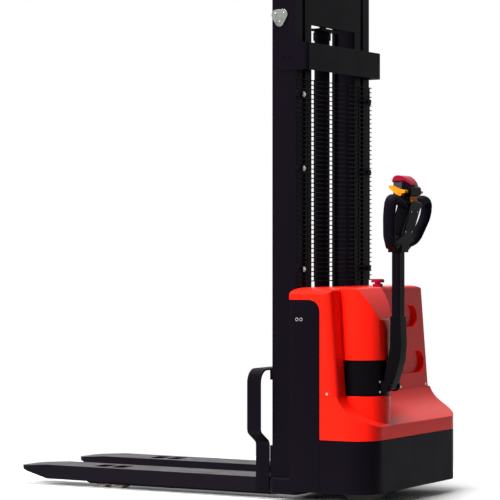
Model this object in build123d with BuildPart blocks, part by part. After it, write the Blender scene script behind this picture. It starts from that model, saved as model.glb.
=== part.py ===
"""Electric stacker: pedestrian pallet stacker with a two-stage mast, millimetres, +Z up.

The forks point along -X, the tiller and the operator are at +X, and the drive unit
stands in a tower on the -Y side. The origin is on the floor below the middle of the box.
"""
import os
from math import cos, hypot, radians, sin

from build123d import *

os.makedirs("parts", exist_ok=True)

# Forks
fork_length = 1150.0
fork_width = 170.0
fork_spread = 600.0       # over the outer sides of both forks
fork_top = 86.0           # top of the lowered forks
fork_height = 58.0
fork_plate = 8.0
fork_wall = 6.0
fork_taper = 148.0        # length of the sloped underside at the tip
tip_height = 12.0
heel_depth = 60.0         # fork and hoop depth beside the carriage plates

# Load backrest hoop bent from flat bar
hoop_thick = 8.0
hoop_flare = 70.0         # how far the upper part stands outside the forks
hoop_foot = 36.0
hoop_kink_low = 225.0
hoop_kink_high = 267.0
hoop_top = 514.0
hoop_bend = 52.0

# Mast
mast_gap = 19.0           # from the carriage plates' back to the mast front, with the plates
mast_depth = 104.0
mast_width = 632.0        # over the outer rails
rail_flange = 12.0
rail_web = 10.0
outer_rail_width = 55.0
inner_rail_width = 53.0
rail_gap = 22.0
outer_top = 2030.0
inner_foot = 104.0
head_proud = 10.0         # inner mast above the outer one
guide_drop = 145.0        # upper guide rollers below the outer mast's top
guide_set = 36.0          # and behind its front
tie_plate = 12.0
roller_clear = 0.35

# Lift cylinder, chains and sheaves
barrel_dia = 52.0
rod_dia = 34.0
rod_drop = 152.0          # end of the rod below the inner mast's top
barrel_drop = 38.0        # barrel below the end of the rod
gland_dia = 64.0
gland_height = 34.0
sheave_rise = 37.0        # sheave pin above the end of the rod
sheave_pitch = 32.0
sheave_width = 24.0
chain_y = 60.0
chain_width = 17.0
chain_thick = 9.0
sheave_pin_dia = 20.0
running_clear = 0.05

# Body
body_gap = 26.0           # from the mast rear to the front of the body
body_width = 830.0
corner_radius = 105.0
skirt_bottom = 50.0
border_z = 252.0          # top of the black skirt
seam_z = 418.0            # joint between lower and upper cover
cover_top = 832.0
cover_wall = 6.0
side_plate_length = 131.0
side_plate_top = 786.0
side_plate_corner = 46.0
side_plate_thick = 6.0
panel_top_x = 172.0       # rear panel, measured from the front of the body
panel_foot_x = 204.0
deck_z = 305.0            # rear edge of the sloped deck
deck_plate = 10.0
bulkhead = 10.0
joint_gap = 1.0
seat_gap = 0.3

# Drive tower and steering
steer_x = 233.0           # steering axis, measured from the front of the body
wheel_room = 3.0          # round the steered wheel
steer_inset = 175.0       # steering axis from the side of the body
drum_radius = 98.0
drum_wall = 4.0
drum_inset = 5.0          # drum inside the tower's face
notch_z = 556.0           # underside of the tower above the drum
drum_gap = 3.0
motor_radius = 62.0
drive_wheel_dia = 200.0
drive_wheel_width = 65.0
drive_axle_dia = 30.0
ring_breadth = 26.0
seat_rim = 6.0            # rims inside the covers that seat them
ring_height = 20.0
caster_x = 125.0
caster_inset = 160.0      # caster from the side of the body
caster_dia = 130.0
caster_width = 46.0
caster_trail = 34.0
caster_axle_dia = 16.0
caster_boss = 40.0
caster_boss_height = 12.0
kingpin_dia = 24.0

# Support legs and load rollers
leg_width = 134.0
leg_bottom = 18.0
leg_top = 66.0
cheek = 12.0
roller_dia = 74.0
roller_length = 70.0
roller_pitch = 82.0
bogie_x = 724.0           # bogie pin ahead of the fork heel
bogie_plate = 6.0
bogie_pin_dia = 16.0
roller_axle_dia = 14.0
beam_top = 90.0
beam_bottom = 26.0

# Tiller
eye_radius = 16.0
eye_room = 2.0            # between the tiller eye and the drum
tiller_pivot_z = 456.0
tiller_pin_dia = 18.0
arm_offset = 30.0         # arm behind the tiller pivot
arm_depth = 34.0
arm_breadth = 50.0
arm_bottom = 690.0
boot_top = 724.0
head_bottom = 968.0
head_base = 1000.0        # where the leaning head crosses the arm
head_lean = 18.0          # degrees towards the operator
head_depth = 54.0
pod_half = 46.0
pad_rear = 86.0           # rear edge of the belly button behind the arm
grip_corner = 175.0       # where the sides of a grip loop would meet
grip_tube = 30.0

# Guard and band
guard_rise = 23.0         # guard above the hood
guard_drop = 17.0         # guard below the band
guard_half = 313.0
guard_pitch = 18.3
guard_wire = 4.0
guard_columns = 6
band_drop = 247.0         # band below the outer mast's top
band_height = 106.0
band_plate = 5.0
band_standoff = 52.0
band_front = 14.0
bracket_low = 47.0        # above the foot of the guard
bracket_middle = 440.0
bracket_high = 76.0       # below its top

# Places that follow from the sizes above
tower_radius = drum_radius + drum_inset
tiller_pivot_r = drum_radius + eye_radius + eye_room
tiller_reach = tiller_pivot_r + arm_offset
rear_reach = (
    heel_depth + mast_gap + mast_depth + body_gap + steer_x + tiller_reach + pad_rear
)
heel_x = (fork_length - rear_reach) / 2     # front edge of the carriage, where the forks begin
front_x = heel_x + heel_depth
plate_x = front_x + tie_plate
mast_x0 = front_x + mast_gap
mast_x1 = mast_x0 + mast_depth
mast_mid = (mast_x0 + mast_x1) / 2
outer_y1 = mast_width / 2
outer_y0 = outer_y1 - outer_rail_width
inner_y1 = outer_y0 - rail_gap
inner_y0 = inner_y1 - inner_rail_width
inner_web_y = (inner_y0 + inner_y1) / 2
pocket = mast_depth - 2 * rail_flange
body_x0 = mast_x1 + body_gap
half_width = body_width / 2
steer_y = steer_inset - half_width
caster_y = half_width - caster_inset
axis_x = body_x0 + steer_x
wheel_sweep = hypot(drive_wheel_dia / 2, drive_wheel_width / 2)
body_x1 = axis_x + wheel_sweep + wheel_room + cover_wall
ring_inner = motor_radius + 6
ring_outer = ring_inner + ring_breadth
fork_y = (fork_spread - fork_width) / 2
fork_bottom = fork_top - fork_height
wheel_z = drive_wheel_dia / 2
leg_y = fork_y
mast_foot = beam_top
inner_top = outer_top + head_proud
head_block_z = inner_top - rod_drop
barrel_top = head_block_z - barrel_drop
sheave_z = head_block_z + sheave_rise
band_z1 = outer_top - band_drop
band_z0 = band_z1 - band_height
guard_z0 = cover_top + guard_rise
guard_z1 = band_z0 - guard_drop


def save(builder, name):
    """Label a finished piece and write its STEP file."""
    builder.part.label = name
    export_step(builder.part, f"parts/{name}.step")


def side_name(side):
    return "near" if side < 0 else "far"


# Support legs: box beams under the forks, ending in two cheeks round the bogie
bogie_at = heel_x - bogie_x
nose = 104.0
nose_rise = 14.0
slot_back = 84.0
leg_x0 = bogie_at - nose
for side in (-1, 1):
    with BuildPart() as leg:
        with BuildSketch(Plane.XZ.offset(-side * leg_y)):
            with BuildLine():
                Polyline(
                    (leg_x0, leg_top - nose_rise),
                    (leg_x0, leg_bottom + nose_rise),
                    (leg_x0 + 2 * nose_rise, leg_bottom),
                    (plate_x, leg_bottom),
                    (plate_x, leg_top),
                    (leg_x0 + nose_rise, leg_top),
                    close=True,
                )
            make_face()
        extrude(amount=leg_width / 2, both=True)
        with BuildSketch(Plane.XY.offset(leg_bottom)):
            with Locations((bogie_at, side * leg_y)):
                Rectangle(2 * slot_back, leg_width - 2 * cheek)
        extrude(amount=leg_top - leg_bottom, mode=Mode.SUBTRACT)
        with BuildSketch(Plane.XZ.offset(-side * leg_y)):
            with Locations((bogie_at, roller_dia / 2)):
                Circle(bogie_pin_dia / 2)
        extrude(amount=leg_width, both=True, mode=Mode.SUBTRACT)
    save(leg, f"support_leg_{side_name(side)}")

bogie_half = leg_width / 2 - cheek - joint_gap
with BuildPart() as bogie_pins:
    for side in (-1, 1):
        for face in (-1, 1):
            y = side * leg_y + face * leg_width / 2
            with BuildSketch(Plane.XZ.offset(-y)):
                with Locations((bogie_at, roller_dia / 2)):
                    Circle(bogie_pin_dia / 2)
            extrude(amount=face * (leg_width / 2 - bogie_half + bogie_plate))
save(bogie_pins, "bogie_pins")

# Bogies: two side plates and a hub on the pin, with an axle for each load roller
plate_radius = 21.0
for side in (-1, 1):
    with BuildPart() as bogie:
        for face in (-1, 1):
            y = side * leg_y + face * (bogie_half - bogie_plate / 2)
            with BuildSketch(Plane.XZ.offset(-y)):
                with Locations((bogie_at, roller_dia / 2)):
                    SlotCenterToCenter(roller_pitch, 2 * plate_radius)
            extrude(amount=bogie_plate / 2, both=True)
        with BuildSketch(Plane.XZ.offset(-side * leg_y)):
            with Locations((bogie_at, roller_dia / 2)):
                with GridLocations(roller_pitch, 1, 2, 1):
                    Circle(roller_axle_dia / 2)
        extrude(amount=bogie_half, both=True)
        with BuildSketch(Plane.XZ.offset(-side * leg_y)):
            with Locations((bogie_at, roller_dia / 2)):
                Circle(bogie_pin_dia / 2 + running_clear)
        extrude(amount=leg_width, both=True, mode=Mode.SUBTRACT)
    save(bogie, f"bogie_{side_name(side)}")
    for end in (-1, 1):
        place = "front" if end < 0 else "rear"
        with BuildPart() as roller:
            x = bogie_at + end * roller_pitch / 2
            with BuildSketch(Plane.XZ.offset(-side * leg_y)):
                with Locations((x, roller_dia / 2)):
                    Circle(roller_dia / 2)
                    Circle(roller_axle_dia / 2 + running_clear, mode=Mode.SUBTRACT)
            extrude(amount=roller_length / 2, both=True)
            rims = roller.edges().filter_by(GeomType.CIRCLE).filter_by(lambda e: e.radius > plate_radius)
            fillet(rims, 5)
        save(roller, f"load_roller_{place}_{side_name(side)}")

# Chassis frame: foot beam under the mast, bulkhead, deck plate and side flanges
beam_half = outer_y1 + 30
plate_half = half_width - max(cover_wall, side_plate_thick) - seat_gap
bulkhead_top = side_plate_top - side_plate_corner
deck_back = body_x1 - cover_wall - seat_gap
with BuildPart() as chassis_frame:
    with BuildSketch(Plane.XY.offset(beam_bottom)):
        with Locations(((plate_x + body_x0) / 2, 0)):
            RectangleRounded(body_x0 - plate_x, 2 * beam_half, 30)
    extrude(amount=beam_top - beam_bottom)
    fillet(chassis_frame.faces().sort_by(Axis.X)[0].edges().filter_by(Axis.Y), 16)
    with BuildSketch(Plane.YZ.offset(body_x0)):
        with Locations((0, (skirt_bottom + bulkhead_top) / 2)):
            RectangleRounded(2 * (half_width - side_plate_thick), bulkhead_top - skirt_bottom, 20)
    extrude(amount=bulkhead)
    with BuildSketch(Plane.XY.offset(border_z - deck_plate)):
        with Locations(((body_x0 + deck_back) / 2, 0)):
            Rectangle(deck_back - body_x0, 2 * plate_half)
    extrude(amount=deck_plate)
    corners = chassis_frame.edges().filter_by(Axis.Z).group_by(Axis.X)[-1]
    fillet(corners, corner_radius - cover_wall)
    with BuildSketch(Plane.XY.offset(border_z - deck_plate)):
        with Locations((axis_x, steer_y)):
            Circle(motor_radius + 4)
    extrude(amount=deck_plate, mode=Mode.SUBTRACT)
    with BuildSketch(Plane.XY.offset(border_z - deck_plate)):
        with Locations((body_x0 + caster_x, caster_y)):
            Circle(caster_boss)
    extrude(amount=-caster_boss_height)
    with BuildSketch(Plane.XY.offset(border_z)):
        with Locations((body_x0 + caster_x, caster_y)):
            Circle(kingpin_dia / 2 + running_clear)
    extrude(amount=-deck_plate - caster_boss_height, mode=Mode.SUBTRACT)
save(chassis_frame, "chassis_frame")

# Side plates of the body, with a rounded rear top corner and a pair of wiring holes
for side in (-1, 1):
    with BuildPart() as side_plate:
        y = side * half_width if side > 0 else -half_width + side_plate_thick
        with BuildSketch(Plane.XZ.offset(-y)) as outline:
            with Locations((body_x0, skirt_bottom)):
                Rectangle(
                    side_plate_length,
                    side_plate_top - skirt_bottom,
                    align=(Align.MIN, Align.MIN),
                )
            fillet(outline.vertices().group_by(Axis.X)[-1].sort_by(Axis.Y)[-1], side_plate_corner)
            with Locations((body_x0 + 42, side_plate_top - 75)):
                with GridLocations(18, 1, 2, 1):
                    Circle(5, mode=Mode.SUBTRACT)
        extrude(amount=side_plate_thick)
    save(side_plate, f"side_plate_{side_name(side)}")

# Black skirt round the rear of the body
skirt_x0 = body_x0 + side_plate_length + joint_gap


def body_plan(x0, inset):
    """Plan of the body behind x0, drawn in by an inset, with its two round rear corners."""
    x1 = body_x1 - inset
    with BuildSketch(Plane.XY) as plan:
        with Locations((x0, 0)):
            Rectangle(x1 - x0, 2 * (half_width - inset), align=(Align.MIN, Align.CENTER))
        fillet(plan.vertices().group_by(Axis.X)[-1], corner_radius - inset)
    return plan.sketch


outer_plan = body_plan(skirt_x0, 0)
inner_plan = body_plan(skirt_x0 - 1, cover_wall)
rim_plan = body_plan(skirt_x0, cover_wall)
inside_rim = body_plan(skirt_x0 - 1, cover_wall + seat_rim)
with BuildPart() as rear_skirt:
    with BuildSketch(Plane.XY.offset(skirt_bottom)):
        add(outer_plan)
        add(inner_plan, mode=Mode.SUBTRACT)
    extrude(amount=border_z - skirt_bottom)
save(rear_skirt, "rear_skirt")

# Lower cover: red shell with a sloped deck and the foot of the drive tower
slope_start = body_x0 + panel_foot_x


def deck_profile(inset):
    """Side view of the lower cover, with the concave start of its sloped deck."""
    top = seam_z - inset
    edge = deck_z - inset
    x1 = body_x1 + 10
    with BuildSketch(Plane.XZ) as profile:
        with BuildLine():
            Polyline(
                (skirt_x0 - 2, top),
                (skirt_x0 - 2, border_z - 2),
                (x1, border_z - 2),
                (x1, edge),
                (body_x1, edge),
            )
            Spline(
                (body_x1, edge),
                (slope_start + 72, seam_z - 74 - inset),
                (slope_start, top),
                tangents=((-1, 0.62), (-0.35, 1)),
            )
            Line((slope_start, top), (skirt_x0 - 2, top))
        make_face()
    return profile.sketch


deck_outer = deck_profile(0)
deck_inner = deck_profile(cover_wall)
with BuildPart() as lower_hollow:
    with BuildSketch(Plane.XY.offset(border_z)):
        add(inner_plan)
    extrude(amount=seam_z - border_z)
    with BuildSketch(Plane.XZ):
        add(deck_inner)
    extrude(amount=body_width, both=True, mode=Mode.INTERSECT)
    with BuildSketch(Plane.XY.offset(border_z)):
        with Locations((axis_x, steer_y)):
            Circle(tower_radius - cover_wall)
    extrude(amount=seam_z - cover_wall - border_z)

with BuildPart() as lower_cover:
    with BuildSketch(Plane.XY.offset(border_z + joint_gap)):
        add(outer_plan)
    extrude(amount=seam_z - border_z)
    with BuildSketch(Plane.XZ):
        add(deck_outer)
    extrude(amount=body_width, both=True, mode=Mode.INTERSECT)
    with BuildSketch(Plane.XY.offset(border_z + joint_gap)):
        with Locations((axis_x, steer_y)):
            Circle(tower_radius)
    extrude(amount=seam_z - border_z - joint_gap)
    add(lower_hollow.part, mode=Mode.SUBTRACT)
    with BuildSketch(Plane.XY.offset(border_z)):
        with Locations((axis_x, steer_y)):
            Circle(ring_inner)
    extrude(amount=seam_z, mode=Mode.SUBTRACT)
    # Rim that stands on the deck plate
    with BuildSketch(Plane.XY.offset(border_z)):
        add(rim_plan)
        add(inside_rim, mode=Mode.SUBTRACT)
    extrude(amount=joint_gap + seat_rim)
save(lower_cover, "lower_cover")

# Upper cover: red hood with a leaning rear panel, the drive tower and two hand recesses
hood_bottom = seam_z + joint_gap
recess_depth = 16.0
recess_height = 88.0
recess_length = 230.0
recess_ends = ((708.0, 338.0), (522.0, 372.0))   # height and far end of each recess
pen_slot = (22.0, 112.0, 4.0)                     # breadth, height and depth
pen_slot_at = (7.0, 716.0)
hood_edge = 16.0
hood_corner = 26.0
crown_reach = 120.0                               # the top falls off towards both sides
crown_drop = 28.0


def recess_blank(z, far_end, grow, depth):
    """Block with a round far end, cut into the rear panel at one height."""
    lean = (cover_top - z) / (cover_top - seam_z) * (panel_foot_x - panel_top_x)
    face_x = body_x0 + panel_top_x + lean
    with BuildPart() as blank:
        with BuildSketch(Plane.YZ.offset(face_x - depth)):
            with Locations((far_end - recess_length / 2, z)):
                SlotOverall(recess_length + 2 * grow, recess_height + 2 * grow)
        extrude(amount=depth + recess_depth)
    return blank.part


def hood_block(inset):
    """Hood drawn in by an inset: leaning rear panel, round corners and a crowned top."""
    floor = hood_bottom - (1 if inset else 0)
    top = cover_top - inset
    half = half_width - inset
    with BuildPart() as block:
        with BuildSketch(Plane.XZ.offset(-half)):
            with BuildLine():
                Polyline(
                    (body_x0 + inset, floor),
                    (body_x0 + panel_foot_x - inset, floor),
                    (body_x0 + panel_top_x - inset, top),
                    (body_x0 + inset, top),
                    close=True,
                )
            make_face()
        extrude(amount=2 * half)
        corners = block.edges().filter_by(lambda e: abs((e % 0.5).Z) > 0.9 and e.center().X > body_x0 + inset + 1)
        fillet(corners, hood_corner - inset)
        fillet(block.faces().sort_by(Axis.Z)[-1].edges(), hood_edge - inset)
        with BuildSketch(Plane.YZ.offset(body_x0)):
            with BuildLine():
                for face in (-1, 1):
                    EllipticalCenterArc(
                        (face * (half_width - crown_reach), cover_top - crown_drop),
                        crown_reach - inset,
                        crown_drop - inset,
                        start_angle=0 if face > 0 else 90,
                        arc_size=90,
                    )
                Line((half - crown_reach + inset, top), (crown_reach - inset - half, top))
                Polyline(
                    (-half, cover_top - crown_drop),
                    (-half, floor),
                    (half, floor),
                    (half, cover_top - crown_drop),
                )
            make_face()
        extrude(amount=panel_foot_x, mode=Mode.INTERSECT)
    return block.part


def tower_profile(inset):
    """Side view of the tower above the drum, with its curved rear edge."""
    x1 = axis_x + tower_radius + 4 - inset
    floor = notch_z + inset
    with BuildSketch(Plane.XZ) as profile:
        with BuildLine():
            Polyline((x1, floor), (body_x0 + inset, floor), (body_x0 + inset, cover_top - inset))
            Line((body_x0 + inset, cover_top - inset), (axis_x + 22 - inset, cover_top - inset))
            ThreePointArc(
                (axis_x + 22 - inset, cover_top - inset),
                (axis_x + 93 - inset, notch_z + 150),
                (x1, floor),
            )
        make_face()
    return profile.sketch


tower_outer = tower_profile(0)
tower_inner = tower_profile(cover_wall)
with BuildPart() as tower:
    with BuildSketch(Plane.XY.offset(notch_z)):
        with Locations((axis_x, steer_y)):
            Circle(tower_radius)
    extrude(amount=cover_top - notch_z)
    with BuildSketch(Plane.XZ):
        add(tower_outer)
    extrude(amount=body_width, both=True, mode=Mode.INTERSECT)
    fillet(tower.faces().sort_by(Axis.Z)[-1].edges(), 10)

with BuildPart() as hood_hollow:
    add(hood_block(cover_wall))
    with BuildSketch(Plane.XY.offset(hood_bottom - 1)):
        with Locations((axis_x, steer_y)):
            Circle(tower_radius + cover_wall)
    extrude(amount=notch_z + cover_wall - hood_bottom + 1, mode=Mode.SUBTRACT)

recess_backs = [recess_blank(z, end, cover_wall, recess_depth + cover_wall) for z, end in recess_ends]
recess_cuts = [recess_blank(z, end, 0, recess_depth) for z, end in recess_ends]
with BuildPart() as hollow_behind_recesses:
    add(hood_hollow.part)
    add(recess_backs, mode=Mode.SUBTRACT)

with BuildPart() as tower_hollow:
    with BuildSketch(Plane.XY.offset(notch_z + cover_wall)):
        with Locations((axis_x, steer_y)):
            Circle(tower_radius - cover_wall)
    extrude(amount=cover_top - notch_z)
    with BuildSketch(Plane.XZ):
        add(tower_inner)
    extrude(amount=body_width, both=True, mode=Mode.INTERSECT)

with BuildPart() as upper_cover:
    add(hood_block(0))
    add(tower.part)
    add(hollow_behind_recesses.part, mode=Mode.SUBTRACT)
    add(tower_hollow.part, mode=Mode.SUBTRACT)
    add(recess_cuts, mode=Mode.SUBTRACT)
    slot_face = body_x0 + (panel_top_x + panel_foot_x) / 2
    with BuildSketch(Plane.YZ.offset(slot_face - 2 * pen_slot[2])):
        with Locations(pen_slot_at):
            SlotOverall(pen_slot[1], pen_slot[0], rotation=90)
    extrude(amount=10 * pen_slot[2], mode=Mode.SUBTRACT)
    # Rim that stands on the lower cover
    rim_x1 = body_x0 + panel_foot_x - cover_wall
    with BuildSketch(Plane.XY.offset(seam_z)):
        with Locations((skirt_x0, 0)):
            Rectangle(rim_x1 - skirt_x0, body_width - 2 * cover_wall, align=(Align.MIN, Align.CENTER))
            Rectangle(
                rim_x1 - seat_rim - skirt_x0,
                body_width - 2 * cover_wall - 2 * seat_rim,
                align=(Align.MIN, Align.CENTER),
                mode=Mode.SUBTRACT,
            )
    extrude(amount=joint_gap + seat_rim)
    # The drum turns in a round pocket below the tower
    with BuildSketch(Plane.XY.offset(hood_bottom - 2)):
        with Locations((axis_x, steer_y)):
            Circle(tower_radius)
    extrude(amount=notch_z - hood_bottom + 2, mode=Mode.SUBTRACT)
    # Open front, closed by the bulkhead, and cut-outs for the side plates
    with BuildSketch(Plane.XZ.offset(-body_width)) as opening:
        with Locations((body_x0 - 1, hood_bottom - 1)):
            Rectangle(
                side_plate_length + joint_gap + 1,
                side_plate_top + joint_gap - hood_bottom + 1,
                align=(Align.MIN, Align.MIN),
            )
        fillet(opening.vertices().group_by(Axis.X)[-1].sort_by(Axis.Y)[-1], side_plate_corner)
    extrude(amount=2 * body_width, mode=Mode.SUBTRACT)
save(upper_cover, "upper_cover")

# Outer mast: two channel rails open towards each other, with a stub for each upper roller
guide_x = mast_x0 + guide_set   # upper guide rollers bear on the front flange
guide_z = outer_top - guide_drop
guide_stub = 22.0
guide_roller_width = 15.0
lower_roller_z = inner_foot + 60.0
mast_roller_width = 30.0
mast_stub = 30.0
end_clear = 2.0
web_y1 = inner_web_y + rail_web / 2
web_y0 = inner_web_y - rail_web / 2
for side in (-1, 1):
    with BuildPart() as outer_rail:
        with BuildSketch(Plane.XY.offset(mast_foot)):
            with Locations((mast_mid, side * (outer_y0 + outer_y1) / 2)):
                Rectangle(mast_depth, outer_rail_width)
            with Locations((mast_mid, side * (outer_y0 + outer_y1) / 2 - side * rail_web)):
                Rectangle(pocket, outer_rail_width, mode=Mode.SUBTRACT)
        extrude(amount=outer_top - mast_foot)
        with BuildSketch(Plane.XZ.offset(-side * outer_y1)):
            with Locations((guide_x, guide_z)):
                Circle(guide_stub / 2)
        extrude(amount=side * (outer_y1 - web_y1 - end_clear))
    save(outer_rail, f"outer_rail_{side_name(side)}")

with BuildPart() as upper_mast_rollers:
    for side in (-1, 1):
        with BuildSketch(Plane.XZ.offset(-side * (inner_y1 - end_clear))):
            with Locations((guide_x, guide_z)):
                Circle(guide_x - mast_x0 - rail_flange - roller_clear)
                Circle(guide_stub / 2 + running_clear, mode=Mode.SUBTRACT)
        extrude(amount=side * guide_roller_width)
save(upper_mast_rollers, "upper_mast_rollers")

# Three-lobed caps over the ends of the roller stubs
cap_lobe = 21.0
cap_core = 26.0
cap_reach = 17.0
cap_thick = 9.0
with BuildPart() as roller_caps:
    for side in (-1, 1):
        with BuildSketch(Plane.XZ.offset(-side * outer_y1)):
            with Locations((guide_x, guide_z)):
                Circle(cap_core)
                with PolarLocations(cap_reach, 3, start_angle=30):
                    Circle(cap_lobe)
        extrude(amount=-side * cap_thick)
        fillet(roller_caps.faces().sort_by(Axis.Y)[-1 if side > 0 else 0].edges(), 3)
save(roller_caps, "roller_caps")

upper_tie_z = (band_z0 + 13, band_z1 - 13)
lower_tie_top = 300.0
with BuildPart() as outer_ties:
    with BuildSketch(Plane.YZ.offset(mast_x1)):
        with Locations((0, (mast_foot + lower_tie_top) / 2)):
            Rectangle(mast_width, lower_tie_top - mast_foot)
    extrude(amount=body_gap)
    with BuildSketch(Plane.YZ.offset(mast_x1)):
        with Locations((0, sum(upper_tie_z) / 2)):
            Rectangle(mast_width, upper_tie_z[1] - upper_tie_z[0])
    extrude(amount=tie_plate)
save(outer_ties, "outer_ties")

# Plain band bent round the back of the mast
band_mid = outer_y1 + band_plate / 2
band_x0 = mast_x0 + band_front
band_x1 = mast_x1 + band_standoff
band_bend = 14.0
band_end_radius = 40.0
with BuildPart() as mast_band:
    with BuildSketch(Plane.XY.offset(band_z0)):
        with BuildLine():
            FilletPolyline(
                (band_x0, -band_mid),
                (band_x1, -band_mid),
                (band_x1, band_mid),
                (band_x0, band_mid),
                radius=band_bend,
            )
        trace(line_width=band_plate)
    extrude(amount=band_z1 - band_z0)
    fillet(mast_band.edges().filter_by(Axis.Y).group_by(Axis.X)[0], band_end_radius)
save(mast_band, "mast_band")

# Wire guard behind the mast: a flat net of level wires on upright ones
guard_x = mast_x1 + 10.0
guard_rows = int((guard_z1 - guard_z0) / guard_pitch)
guard_cell = (2 * guard_half - guard_wire) / guard_columns
guard_mid = guard_z0 + guard_rows * guard_pitch / 2
with BuildPart() as guard_mesh:
    with BuildSketch(Plane.YZ.offset(guard_x)):
        with Locations((0, guard_mid)):
            Rectangle(2 * guard_half, guard_rows * guard_pitch + guard_wire)
            with GridLocations(guard_cell, guard_pitch, guard_columns, guard_rows):
                Rectangle(guard_cell - guard_wire, guard_pitch - guard_wire, mode=Mode.SUBTRACT)
    extrude(amount=guard_wire)
save(guard_mesh, "guard_mesh")

bracket_size = (70.0, 24.0)
with BuildPart() as guard_brackets:
    for side in (-1, 1):
        for z in (guard_z0 + bracket_low, guard_z0 + bracket_middle, guard_z1 - bracket_high):
            with BuildSketch(Plane.YZ.offset(mast_x1)):
                with Locations((side * (outer_y1 - bracket_size[0] / 2), z)):
                    RectangleRounded(*bracket_size, 5)
            extrude(amount=guard_x - mast_x1)
save(guard_brackets, "guard_brackets")

# Lift cylinder: barrel with a closed foot and a gland, on the foot beam
barrel_bore = 42.0
foot_height = 20.0
rod_foot = 190.0
piston_height = 40.0
with BuildPart() as lift_cylinder:
    with BuildSketch(Plane.XY.offset(beam_top)):
        with Locations((mast_mid, 0)):
            Circle(barrel_dia / 2)
    extrude(amount=barrel_top - beam_top)
    with BuildSketch(Plane.XY.offset(barrel_top)):
        with Locations((mast_mid, 0)):
            Circle(gland_dia / 2)
    extrude(amount=-gland_height)
    with BuildSketch(Plane.XY.offset(beam_top + foot_height)):
        with Locations((mast_mid, 0)):
            Circle(barrel_bore / 2)
    extrude(amount=barrel_top - gland_height - beam_top - foot_height, mode=Mode.SUBTRACT)
    with BuildSketch(Plane.XY.offset(barrel_top)):
        with Locations((mast_mid, 0)):
            Circle(rod_dia / 2 + running_clear)
    extrude(amount=-gland_height, mode=Mode.SUBTRACT)
save(lift_cylinder, "lift_cylinder")

with BuildPart() as lift_rod:
    with BuildSketch(Plane.XY.offset(rod_foot)):
        with Locations((mast_mid, 0)):
            Circle(rod_dia / 2)
    extrude(amount=head_block_z - rod_foot)
    with BuildSketch(Plane.XY.offset(rod_foot)):
        with Locations((mast_mid, 0)):
            Circle(barrel_bore / 2 - running_clear)
    extrude(amount=piston_height)
save(lift_rod, "lift_rod")

# Chain anchors: a yoke plate on the gland with a clevis block for each chain
anchor_plate = 10.0
anchor_block = (14.0, 18.0, 25.0)
anchor_half = chain_y + anchor_block[1] / 2 + 3
rear_chain_x = mast_mid + sheave_pitch
front_chain_x = mast_mid - sheave_pitch
with BuildPart() as chain_anchors:
    with BuildSketch(Plane.XY.offset(barrel_top)):
        with Locations((mast_mid, 0)):
            Circle(gland_dia / 2)
        with Locations((mast_mid + anchor_block[0], 0)):
            Rectangle(2 * (rear_chain_x + anchor_block[0] / 2 - mast_mid - anchor_block[0]), 2 * anchor_half)
        with Locations((mast_mid, 0)):
            Circle(rod_dia / 2 + joint_gap, mode=Mode.SUBTRACT)
    extrude(amount=anchor_plate)
    with BuildSketch(Plane.XY.offset(barrel_top + anchor_plate)):
        with Locations((rear_chain_x, 0)):
            with GridLocations(1, 2 * chain_y, 1, 2):
                Rectangle(anchor_block[0], anchor_block[1])
    extrude(amount=anchor_block[2])
save(chain_anchors, "chain_anchors")

# Inner mast: two beam rails, the stub for each lower roller, and ties at head and foot
for side in (-1, 1):
    with BuildPart() as inner_rail:
        with BuildSketch(Plane.XY.offset(inner_foot)):
            with Locations((mast_mid, side * inner_web_y)):
                Rectangle(mast_depth, inner_rail_width)
            for edge in (-1, 1):
                with Locations((mast_mid, side * inner_web_y + edge * (inner_rail_width + rail_web) / 2)):
                    Rectangle(pocket, inner_rail_width, mode=Mode.SUBTRACT)
        extrude(amount=inner_top - inner_foot)
        with BuildSketch(Plane.XZ.offset(-side * web_y1)):
            with Locations((mast_mid, lower_roller_z)):
                Circle(mast_stub / 2)
        extrude(amount=-side * (outer_y1 - rail_web - web_y1 - end_clear))
    save(inner_rail, f"inner_rail_{side_name(side)}")

with BuildPart() as lower_mast_rollers:
    for side in (-1, 1):
        with BuildSketch(Plane.XZ.offset(-side * (outer_y1 - rail_web - end_clear))):
            with Locations((mast_mid, lower_roller_z)):
                Circle(pocket / 2 - roller_clear)
                Circle(mast_stub / 2 + running_clear, mode=Mode.SUBTRACT)
        extrude(amount=side * mast_roller_width)
save(lower_mast_rollers, "lower_mast_rollers")

top_tie_z = head_block_z - 26
head_block_height = 76.0
foot_tie_height = 90.0
head_half = 30.0
head_front = 22.0
pin_end = chain_y + sheave_width / 2 + 4
with BuildPart() as inner_ties:
    with BuildSketch(Plane.YZ.offset(mast_x1 - tie_plate)):
        with Locations((0, (top_tie_z + inner_top) / 2)):
            Rectangle(2 * inner_y0, inner_top - top_tie_z)
        with Locations((0, inner_foot + foot_tie_height / 2)):
            Rectangle(2 * inner_y0, foot_tie_height)
    extrude(amount=tie_plate)
    with BuildSketch(Plane.XY.offset(head_block_z)):
        with Locations(((mast_mid - head_front + mast_x1 - tie_plate) / 2, 0)):
            Rectangle(mast_x1 - tie_plate - mast_mid + head_front, 2 * head_half)
    extrude(amount=head_block_height)
    with BuildSketch(Plane.XZ):
        with Locations((mast_mid, sheave_z)):
            Circle(sheave_pin_dia / 2)
    extrude(amount=pin_end, both=True)
save(inner_ties, "inner_ties")

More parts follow.
